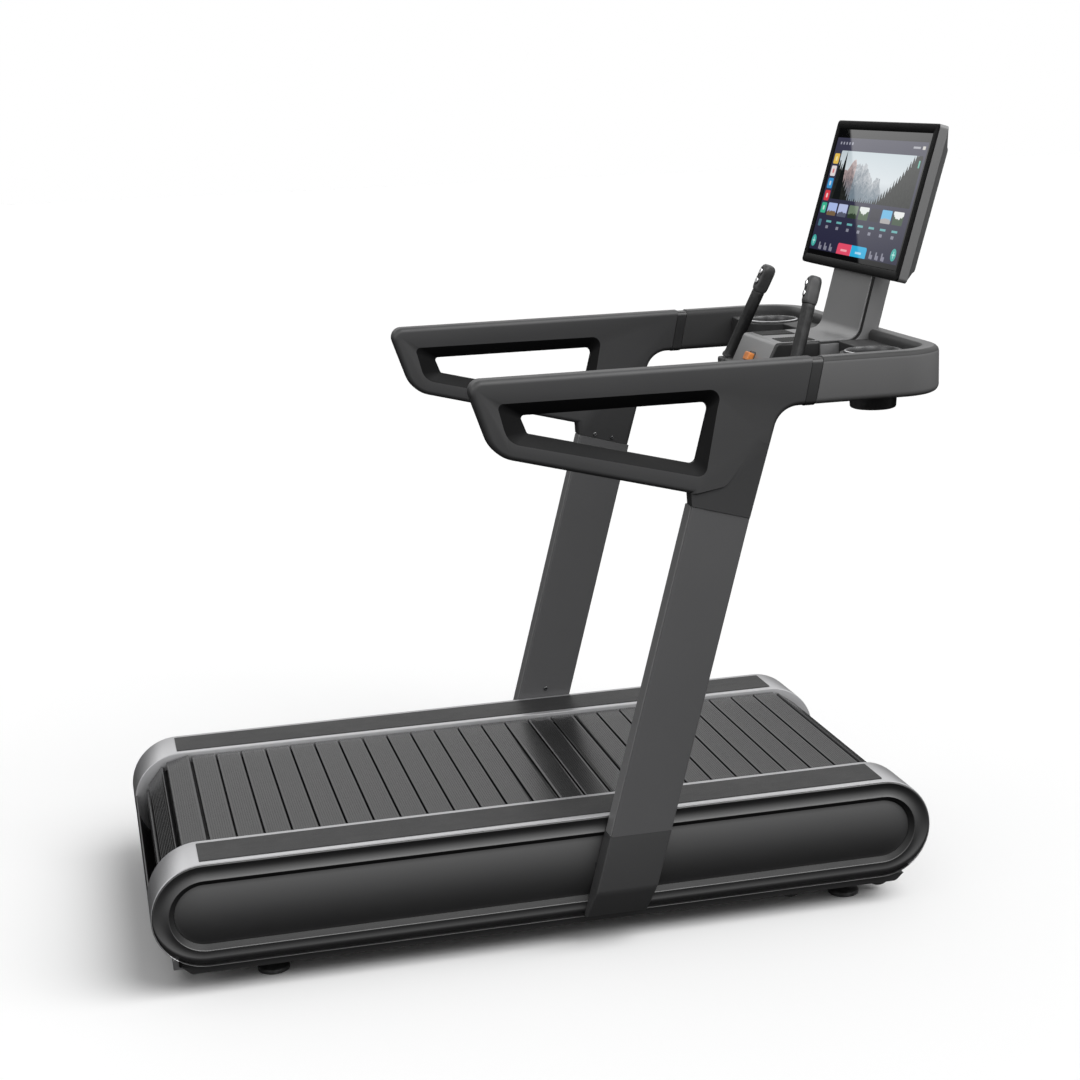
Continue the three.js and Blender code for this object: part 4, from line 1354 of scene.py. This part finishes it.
def makeGrip(name, side):
    place = gripPlace(side)
    rows = [(17.0, 17.0, 14.4, 2), (17.0, 17.0, 20, 2), (15.4, 15.4, 22.5, 2), (14.5, 14.5, 25, 2)]
    rows += [(14.3, 14.3, 60, 2), (14.3, 14.3, 110, 2), (14.3, 14.3, 160, 2), (14.4, 14.4, 183, 2),
             (13.2, 13.2, 184.4, 2)]
    stick = ringLoft(name + "_grip_stick", [superRing(place, a, b, h, p) for a, b, h, p in rows])
    finish(stick, mats["gripRubber"], angle=35)
    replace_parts(stick, name + "_grip")
    rows = [(12.5, 12.5, 185.0, 2.2), (14.2, 13.6, 185.4, 2.3), (15.2, 14.2, 187.5, 2.6),
            (15.9, 14.7, 193, 3.2), (15.9, 14.9, 205, 3.6), (15.9, 14.9, 232, 3.6),
            (15.4, 14.4, 239, 3.4), (14.0, 13.2, 244, 3.0), (11.4, 10.9, 247.2, 2.7),
            (7.0, 6.8, 248.4, 2.4), (2.0, 2.0, 248.8, 2)]
    head = ringLoft(name + "_grip_head", [superRing(place, a, b, h, p) for a, b, h, p in rows])
    pocket = ringLoft("pocket", [
        [place @ Vector((x / 1000, y / 1000, z / 1000)) for y, z in rounded(
            [(-8.6, 195.5, 8.2), (8.6, 195.5, 8.2), (8.6, 241, 8.2), (-8.6, 241, 8.2)], 6)]
        for x in (-22, -14.0)])
    cutAway(head, pocket, *[buttonWell(place, height) for height in (207, 230)])
    bevelEdges(head, 0.6, 2, 50, weighted=False)
    finish(head, mats["gripHead"], angle=35)
    inlay = ringLoft(name + "_grip_inlay", [
        [place @ Vector((x / 1000, y / 1000, z / 1000)) for y, z in rounded(
            [(-8.2, 195.9, 7.8), (8.2, 195.9, 7.8), (8.2, 240.6, 7.8), (-8.2, 240.6, 7.8)], 6)]
        for x in (-14.6, -13.6)])
    cutAway(inlay, *[buttonWell(place, height) for height in (207, 230)])
    finish(inlay, mats["collarPlastic"], angle=35)
    for level, height in (("lower", 207), ("upper", 230)):
        body = "%s_grip_%s_button" % (name, level)
        rings = []
        for depth, share in ((-14.7, 1.0), (-17.0, 1.0), (-17.7, 0.92), (-18.0, 0.7), (-17.7, 0.35),
                             (-17.6, 0.05)):
            loop = []
            for k in range(28):
                angle = 2 * math.pi * k / 28
                loop.append(place @ Vector((depth / 1000, 5.6 * share * math.cos(angle) / 1000,
                                            (height + 7.0 * share * math.sin(angle)) / 1000)))
            rings.append(loop)
        button = ringLoft("%s_%s_oval_button" % (name, level), rings)
        finish(button, mats["buttonChrome"], body=body, angle=50)
        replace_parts(button, body)
    foot = ringLoft(name + "_grip_socket", [
        superRing(Matrix.Translation(at(593, side * 208, 1110)), a, b, h, 3.2) for a, b, h in (
            (15.0, 17.5, -17), (17.0, 19.5, -15.5), (17.6, 20, -12), (17.6, 20, 9),
            (17.0, 19.4, 11.5), (15.4, 17.6, 13))])
    finish(foot, mats["gripHead"], angle=35)


for sideName, side in sides:
    makeGrip(sideName, side)
print("grips made")


# display
def buildTileGroup():
    # a soft-edged rectangle on the screen: 1 inside, 0 outside
    group, start, end = newGroup(
        "screenTile",
        [("Across", "NodeSocketFloat", 0.0), ("Up", "NodeSocketFloat", 0.0),
         ("Centre Across", "NodeSocketFloat", 0.0), ("Centre Up", "NodeSocketFloat", 0.0),
         ("Half Across", "NodeSocketFloat", 0.1), ("Half Up", "NodeSocketFloat", 0.1),
         ("Corner", "NodeSocketFloat", 0.002)],
        [("Mask", "NodeSocketFloat")])
    outs = start.outputs
    distances = []
    for axis in ("Across", "Up"):
        offset = maths(group, "ABSOLUTE", maths(
            group, "SUBTRACT", outs[axis], outs["Centre " + axis]))
        reach = maths(group, "SUBTRACT", outs["Half " + axis], outs["Corner"])
        distances.append(maths(group, "MAXIMUM", maths(group, "SUBTRACT", offset, reach), 0.0))
    squared = maths(group, "ADD", maths(group, "MULTIPLY", distances[0], distances[0]),
                    maths(group, "MULTIPLY", distances[1], distances[1]))
    beyond = maths(group, "SUBTRACT", maths(group, "SQRT", squared), outs["Corner"])
    mask = node(group, "ShaderNodeMapRange", {"Value": beyond, "From Min": -0.0004,
                "From Max": 0.0004, "To Min": 1.0, "To Max": 0.0})
    group.links.new(mask.outputs[0], end.inputs["Mask"])
    return group


def screenMaterial():
    made = bpy.data.materials.new("displayGlass")
    made.use_nodes = True
    tree = made.node_tree
    shader = tree.nodes["Principled BSDF"]
    tileGroup = buildTileGroup()
    place = tree.nodes.new("ShaderNodeTexCoord").outputs["Object"]
    corner = onScreen @ Vector((0, 0, 0))
    local = node(tree, "ShaderNodeMapping", {"Vector": place, "Location": corner,
                 "Rotation": (0, math.radians(screen["tilt"]), 0)}, vector_type="TEXTURE")
    parts = node(tree, "ShaderNodeSeparateXYZ", {"Vector": local.outputs[0]})
    across = maths(tree, "MULTIPLY", parts.outputs["Y"], -1.0)
    up = parts.outputs["Z"]
    flat = node(tree, "ShaderNodeCombineXYZ", {"X": across, "Y": up}).outputs[0]

    def tile(x, y, w, h, corner=0.003):
        used = useGroup(tree, tileGroup, {"Across": across, "Up": up, "Centre Across": x,
                        "Centre Up": y, "Half Across": w, "Half Up": h, "Corner": corner})
        return used.outputs["Mask"]

    def lay(color, mask, paint, strength=1.0):
        if strength != 1.0:
            mask = maths(tree, "MULTIPLY", mask, strength)
        return mixColors(tree, mask, color, paint)

    def ridge(scale, amount, base, seed):
        spot = node(tree, "ShaderNodeCombineXYZ", {"X": across, "Y": seed}).outputs[0]
        bumps = node(tree, "ShaderNodeTexNoise", {"Vector": spot, "Scale": scale, "Detail": 5.0,
                     "Roughness": 0.6}).outputs[0]
        line = maths(tree, "MULTIPLY_ADD", bumps, amount, base)
        return line

    def below(line, soft=0.0012):
        gapUp = maths(tree, "SUBTRACT", line, up)
        return maths(tree, "DIVIDE", gapUp, soft, clamp=True)

    def peak(middle, height, slope, rough=0.05, scale=40.0, seed=0.0):
        # a jagged slope falling away on both sides
        away = maths(tree, "ABSOLUTE", maths(tree, "SUBTRACT", across, middle))
        top = ridge(scale, rough, height - rough / 2, seed)
        return maths(tree, "MULTIPLY_ADD", away, -slope, top)

    # the lower page and the top bar
    color = mixColors(tree, maths(tree, "DIVIDE", up, 0.3, clamp=True), (0.020, 0.020, 0.050),
                      (0.050, 0.050, 0.085))
    # the big picture: sky, far peaks with snow, mist, near woods
    pictureMask = tile(0.016, 0.208, 0.2235, 0.056, 0.004)
    skyShare = maths(tree, "DIVIDE", maths(tree, "SUBTRACT", up, 0.19), 0.08, clamp=True)
    picture = mixColors(tree, skyShare, (0.74, 0.79, 0.82), (0.56, 0.64, 0.68))
    peaks = peak(-0.115, 0.246, 0.55, 0.05, 34.0, 3.1)
    for middle, height, slope, seed in ((-0.052, 0.243, 0.75, 7.7), (0.028, 0.212, 0.8, 11.3)):
        peaks = maths(tree, "MAXIMUM", peaks, peak(middle, height, slope, 0.05, 34.0, seed))
    snow = node(tree, "ShaderNodeTexNoise", {"Vector": flat, "Scale": 60.0, "Detail": 7.0,
                "Roughness": 0.72, "Distortion": 1.6}).outputs[0]
    depthDown = maths(tree, "SUBTRACT", peaks, up)
    snowShare = maths(tree, "SUBTRACT", maths(tree, "MULTIPLY", snow, 2.2), maths(
        tree, "MULTIPLY_ADD", depthDown, 9.0, 0.55), clamp=True)
    rock = mixColors(tree, snowShare, (0.16, 0.20, 0.24), (0.72, 0.74, 0.76))
    rosy = mixColors(tree, maths(tree, "LESS_THAN", across, -0.1), rock, (1.0, 0.72, 0.66),
                     "MULTIPLY")
    picture = mixColors(tree, below(peaks), picture, rosy)
    mist = maths(tree, "DIVIDE", maths(tree, "SUBTRACT", 0.200, up), 0.05, clamp=True)
    picture = mixColors(tree, maths(tree, "MULTIPLY", mist, 0.75), picture, (0.20, 0.26, 0.31))
    jagged = maths(tree, "PINGPONG", across, 0.0060)
    trunk = node(tree, "ShaderNodeTexNoise", {"Vector": flat, "Scale": 120.0,
                 "Detail": 3.0}).outputs[0]
    trees = maths(tree, "MULTIPLY_ADD", jagged, 3.0, maths(tree, "MULTIPLY", trunk, 0.022))
    leftWoods = maths(tree, "ADD", trees, maths(tree, "MULTIPLY_ADD", across, -0.85, 0.048))
    rightWay = maths(tree, "MAXIMUM", maths(tree, "ADD", across, -0.015), 0.0)
    rightWoods = maths(tree, "ADD", trees, maths(tree, "MULTIPLY_ADD", maths(
        tree, "POWER", rightWay, 1.6), 1.55, 0.132))
    bark = mixColors(tree, trunk, (0.003, 0.004, 0.003), (0.03, 0.034, 0.03))
    picture = mixColors(tree, below(maths(tree, "MAXIMUM", leftWoods, rightWoods)), picture, bark)
    lonePine = maths(tree, "MULTIPLY_ADD", maths(tree, "ABSOLUTE", maths(
        tree, "ADD", across, 0.172)), -5.0, maths(tree, "ADD", 0.262, maths(
            tree, "MULTIPLY", trunk, 0.006)))
    picture = mixColors(tree, below(lonePine), picture, (0.006, 0.008, 0.008))
    color = mixColors(tree, pictureMask, color, picture)
    # thumbnails under the picture
    tones = ((0.42, 0.52, 0.85), (0.50, 0.56, 0.82), (0.16, 0.22, 0.15), (0.80, 0.84, 0.82),
             (0.035, 0.035, 0.05), (0.16, 0.50, 0.78), (0.85, 0.87, 0.86))
    lowers = ((0.20, 0.13, 0.07), (0.10, 0.11, 0.16), (0.03, 0.05, 0.03), (0.07, 0.12, 0.06),
              (0.03, 0.03, 0.045), (0.42, 0.40, 0.40), (0.05, 0.09, 0.05))
    for k, (tone, lower) in enumerate(zip(tones, lowers)):
        thumb = tile(-0.177 + 0.0622 * k, 0.1285, 0.0265, 0.0145, 0.003)
        fall = -0.35 if k in (3, 6) else 0.1
        line = peak(-0.177 + 0.0622 * k, 0.126, fall, 0.02, 90.0, 20.0 + 3 * k)
        color = mixColors(tree, thumb, color, mixColors(tree, below(line), tone, lower))
    # a column of plain app tiles
    paints = ((0.82, 0.55, 0.10), (0.80, 0.74, 0.74), (0.05, 0.32, 0.66), (0.72, 0.05, 0.07),
              (0.05, 0.48, 0.30))
    inners = ((0.95, 0.85, 0.5), (0.7, 0.05, 0.06), (0.75, 0.85, 0.95), (0.95, 0.8, 0.8),
              (0.7, 0.95, 0.85))
    for k, (paint, inner) in enumerate(zip(paints, inners)):
        y = 0.2445 - 0.0287 * k
        color = lay(color, tile(-0.229, y, 0.0150, 0.0120, 0.004), paint)
        color = lay(color, tile(-0.229, y, 0.0050, 0.0052, 0.0035), inner, 0.75)
    color = lay(color, tile(-0.229, 0.095, 0.0080, 0.0080, 0.003), (0.10, 0.26, 0.34), 0.7)
    # small status dashes
    for k in range(5):
        color = lay(color, tile(-0.225 + 0.017 * k, 0.281, 0.0038, 0.0030, 0.001),
                    (0.50, 0.51, 0.60), 0.7)
    color = lay(color, tile(0.196, 0.281, 0.018, 0.0022, 0.0008), (0.62, 0.63, 0.68), 0.6)
    color = lay(color, tile(0.232, 0.281, 0.007, 0.0036, 0.001), (0.80, 0.78, 0.72), 0.8)
    color = lay(color, tile(0.228, 0.246, 0.0035, 0.008, 0.002), (0.20, 0.65, 0.52), 0.8)
    # rows of short bars in the lower page
    for k in range(7):
        x = -0.177 + 0.0622 * k
        color = lay(color, tile(x, 0.1000, 0.0150, 0.0024, 0.0008), (0.20, 0.62, 0.62), 0.7)
        color = lay(color, tile(x - 0.004, 0.0870, 0.0075, 0.0034, 0.001), (0.42, 0.43, 0.52), 0.6)
    for x in (-0.195, -0.163, -0.131, 0.102, 0.134, 0.166):
        color = lay(color, tile(x, 0.043, 0.0035, 0.0080, 0.001), (0.46, 0.46, 0.55), 0.55)
        color = lay(color, tile(x + 0.009, 0.039, 0.0050, 0.0048, 0.001), (0.38, 0.38, 0.48), 0.6)
    # the two big touch keys and the round ones at the ends
    keyMask = tile(-0.004, 0.0415, 0.083, 0.0150, 0.007)
    halfMask = maths(tree, "GREATER_THAN", across, -0.0075)
    color = mixColors(tree, keyMask, color, mixColors(tree, halfMask, (0.80, 0.08, 0.15),
                                                      (0.03, 0.45, 0.76)))
    color = lay(color, tile(-0.047, 0.0415, 0.018, 0.0024, 0.001), (1.0, 0.55, 0.6), 0.7)
    color = lay(color, tile(0.036, 0.0415, 0.017, 0.0024, 0.001), (0.6, 0.85, 1.0), 0.7)
    for x in (-0.236, 0.222):
        color = lay(color, tile(x, 0.052, 0.0135, 0.0135, 0.0134), (0.06, 0.42, 0.38))
        color = lay(color, tile(x, 0.052, 0.0075, 0.0017, 0.001), (0.5, 0.85, 0.8), 0.8)
        color = lay(color, tile(x, 0.052, 0.0017, 0.0075, 0.001), (0.5, 0.85, 0.8), 0.8)
    # black border of the glass
    lit = tile(-0.001, 0.1627, 0.2510, 0.1307, 0.002)
    color = mixColors(tree, lit, (0.0015, 0.0015, 0.0015), color)
    tree.links.new(color, shader.inputs["Emission Color"])
    shader.inputs["Emission Strength"].default_value = 0.9
    shader.inputs["Base Color"].default_value = (0.004, 0.004, 0.005, 1)
    smudge = useGroup(tree, cloudGroup, {"Vector": place, "Size": 14.0})
    rough = node(tree, "ShaderNodeMapRange", {"Value": smudge.outputs["Smears"], "To Min": 0.004,
                 "To Max": 0.02})
    tree.links.new(rough.outputs[0], shader.inputs["Roughness"])
    shader.inputs["Specular IOR Level"].default_value = 0.6
    return made


def makeDisplay():
    half, tall = screen["wide"] / 2 - screen["bezel"] - 0.3, screen["tall"]
    low = screen["bezel"] + 0.3
    outline = rounded([(-half, low, 2), (half, low, 2), (half, tall - low, 2),
                       (-half, tall - low, 2)], 4)
    rings = [screenRing(5, outline), screenRing(1.5, outline),
             screenRing(1.1, grown(outline, -0.5))]
    piece = ringLoft("touch_glass", rings)
    finish(piece, screenMaterial(), angle=30)
    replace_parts(piece, "screen_glass")


makeDisplay()
print("display made")


# carried-over nodes
paintNode("base_frame", mats["frameSteel"])
for nodeName in ("front_drum", "rear_drum", "brake_flywheel", "right_roller_rail",
                 "left_roller_rail"):
    paintNode(nodeName, mats["drumSteel"])
for nodeName in ("brake_yoke", "right_front_bearing", "right_rear_bearing", "left_front_bearing",
                 "left_rear_bearing", "right_wheel_bracket", "left_wheel_bracket"):
    paintNode(nodeName, mats["bracketSteel"])
paintNode("drive_belt", mats["beltRubber"])
paintNode("belly_pan", mats["guardPlastic"])


# fasteners
def makeFasteners(name, side):
    inward = Vector((0, -side, 0))
    middle = (rearEdge(300) + frontEdge(300)) / 2
    makeScrew(name + "_post_screw", at(middle, side * 416.6, 300), inward, 5.5)
    for k, (x, z) in enumerate(((330, 925), (372, 913))):
        makeScrew("%s_stem_screw_%d" % (name, k), at(x, side * 423.1, z), inward, 5.0)
    for k, (x, y) in enumerate(((777, 190), (690, 364))):
        makeScrew("%s_shelf_screw_%d" % (name, k), at(x, side * y, 1120.1), Vector((0, 0, -1)), 4.5)


for sideName, side in sides:
    makeFasteners(sideName, side)
print("fasteners made: %d" % screwCount[0])


# stage
studio = dict(dome=0.50, shine=1.35, shineLow=-0.55, shineBehind=0.0, shineHigh=0.45,
              zenith=0.3, sky=2.45, skyWay=(0.52, -0.40, 0.76), skySpread=52,
              flagWay=(-0.359, 0.920, 0.156), flagInner=6, flagOuter=11, flagShine=0.0,
              glareTop=(-0.335, 0.925, 0.178), glareLow=(-0.371, 0.920, 0.126), glare=1.5)
lamps = dict(
    rear=dict(place=(-4.2, -1.6, 3.0), target=(0.0, 0.0, 0.7), size=2.6, power=38),
    side=dict(place=(-0.2, -3.9, 4.0), target=(0.1, -0.2, 0.6), size=2.4, power=60),
)


def makeFloor():
    deselectAll()
    bpy.ops.mesh.primitive_plane_add(size=60, location=(0, 0, 0))
    floor = bpy.context.object
    floor.name = "floor"
    made = bpy.data.materials.new("paleFloor")
    made.use_nodes = True
    shader = made.node_tree.nodes["Principled BSDF"]
    shader.inputs["Base Color"].default_value = (0.95, 0.95, 0.95, 1)
    shader.inputs["Roughness"].default_value = 0.9
    shader.inputs["Specular IOR Level"].default_value = 0.0
    floor.data.materials.append(made)
    floor.visible_diffuse = False
    floor.visible_glossy = False
    return floor


def addFlag(tree, way, shine):
    # a dark flag behind the screen, and a soft light beside it that the glass mirrors
    def toward(direction):
        return node(tree, "ShaderNodeVectorMath", {0: way, 1: direction},
                    operation="DOT_PRODUCT").outputs["Value"]

    flag = node(tree, "ShaderNodeMapRange", {
        "Value": toward(Vector(studio["flagWay"]).normalized()),
        "From Min": math.cos(math.radians(studio["flagInner"])),
        "From Max": math.cos(math.radians(studio["flagOuter"])),
        "To Min": studio["flagShine"], "To Max": 1.0}, interpolation_type="SMOOTHSTEP").outputs[0]
    top, low = Vector(studio["glareTop"]).normalized(), Vector(studio["glareLow"]).normalized()
    beside = top.cross(low).normalized()
    rise = (top - low).normalized()
    edge = node(tree, "ShaderNodeMapRange", {"Value": toward(beside), "From Min": 0.0,
                "From Max": 0.001}).outputs[0]
    far = node(tree, "ShaderNodeMapRange", {"Value": toward(beside), "From Min": 0.05,
               "From Max": 0.09, "To Min": 1.0, "To Max": 0.0}).outputs[0]
    height = node(tree, "ShaderNodeMapRange", {
        "Value": toward(rise), "From Min": rise.dot(low) - 0.02,
        "From Max": rise.dot(top) + 0.02, "To Min": 0.08, "To Max": 1.0}).outputs[0]
    inFront = maths(tree, "GREATER_THAN", toward(top), 0.97)
    light = maths(tree, "MULTIPLY", maths(tree, "MULTIPLY", edge, far), maths(
        tree, "MULTIPLY", height, inFront))
    return maths(tree, "MULTIPLY_ADD", light, studio["glare"], maths(tree, "MULTIPLY", shine, flag))


def makeWorld():
    # plain white to the camera; a soft dome, dark below the horizon, for the light itself
    world = bpy.data.worlds.new("studio")
    bpy.context.scene.world = world
    world.use_nodes = True
    tree = world.node_tree
    background = tree.nodes["Background"]
    way = tree.nodes.new("ShaderNodeTexCoord").outputs["Generated"]
    up = node(tree, "ShaderNodeSeparateXYZ", {"Vector": way}).outputs["Z"]
    dome = node(tree, "ShaderNodeMapRange", {"Value": up, "From Min": -0.02, "From Max": 0.25,
                "To Min": 0.01, "To Max": studio["dome"]}).outputs[0]
    behind = node(tree, "ShaderNodeMapRange", {
        "Value": node(tree, "ShaderNodeSeparateXYZ", {"Vector": way}).outputs["Y"],
        "From Min": -0.2, "From Max": 0.4, "To Min": studio["shineLow"],
        "To Max": studio["shineBehind"]}).outputs[0]
    shine = node(tree, "ShaderNodeMapRange", {
        "Value": up, "From Min": behind, "From Max": studio["shineHigh"], "To Min": 0.0,
        "To Max": studio["shine"]}).outputs[0]
    overhead = node(tree, "ShaderNodeMapRange", {"Value": up, "From Min": 0.6, "From Max": 0.95,
                    "To Min": 1.0, "To Max": studio["zenith"]}).outputs[0]
    shine = maths(tree, "MULTIPLY", shine, overhead)
    shine = addFlag(tree, way, shine)
    rays = tree.nodes.new("ShaderNodeLightPath").outputs
    light = maths(tree, "ADD", maths(tree, "MULTIPLY", dome, maths(
        tree, "SUBTRACT", 1.0, rays["Is Glossy Ray"])),
        maths(tree, "MULTIPLY", shine, rays["Is Glossy Ray"]))
    soft = node(tree, "ShaderNodeCombineXYZ", {"X": light, "Y": light, "Z": light})
    both = mixColors(tree, rays["Is Camera Ray"], soft.outputs[0], (1, 1, 1))
    tree.links.new(both, background.inputs["Color"])
    background.inputs["Strength"].default_value = 1.0


def addObject(name, data):
    made = bpy.data.objects.new(name, data)
    bpy.context.scene.collection.objects.link(made)
    return made


def makeLamp(name, place, target, size, power):
    data = bpy.data.lights.new(name, "AREA")
    data.shape = "RECTANGLE"
    data.size = size
    data.size_y = size
    data.energy = power
    lamp = addObject(name, data)
    lamp.location = place
    lamp.rotation_euler = (Vector(target) - Vector(place)).to_track_quat("-Z", "Y").to_euler()
    return lamp


def makeSun(name, way, strength, spread):
    data = bpy.data.lights.new(name, "SUN")
    data.energy = strength
    data.angle = math.radians(spread)
    lamp = addObject(name, data)
    lamp.rotation_euler = (-Vector(way)).to_track_quat("-Z", "Y").to_euler()
    lamp.location = Vector(way) * 5
    return lamp


def keepOffFloor(lamp, floor):
    # this lamp lights the machine only, so the floor stays even
    group = bpy.data.collections.new(lamp.name + "_reach")
    group.objects.link(floor)
    group.collection_objects[0].light_linking.link_state = "EXCLUDE"
    lamp.light_linking.receiver_collection = group


floor = makeFloor()
makeWorld()
makeSun("sky", studio["skyWay"], studio["sky"], studio["skySpread"])
for lampName, lamp in lamps.items():
    keepOffFloor(makeLamp(lampName, **lamp), floor)


def makeCamera():
    data = bpy.data.cameras.new("camera")
    data.lens = 66.49
    data.sensor_width = 36
    data.clip_end = 100
    made = addObject("camera", data)
    made.location = (-0.9444, -4.1727, 1.7760)
    made.rotation_euler = [math.radians(v) for v in (76.8587, 2.0205, -13.6416)]
    bpy.context.scene.camera = made


makeCamera()
bpy.context.scene.view_settings.view_transform = "Standard"
bpy.context.scene.view_settings.look = "None"
print("stage ready")

deselectAll()
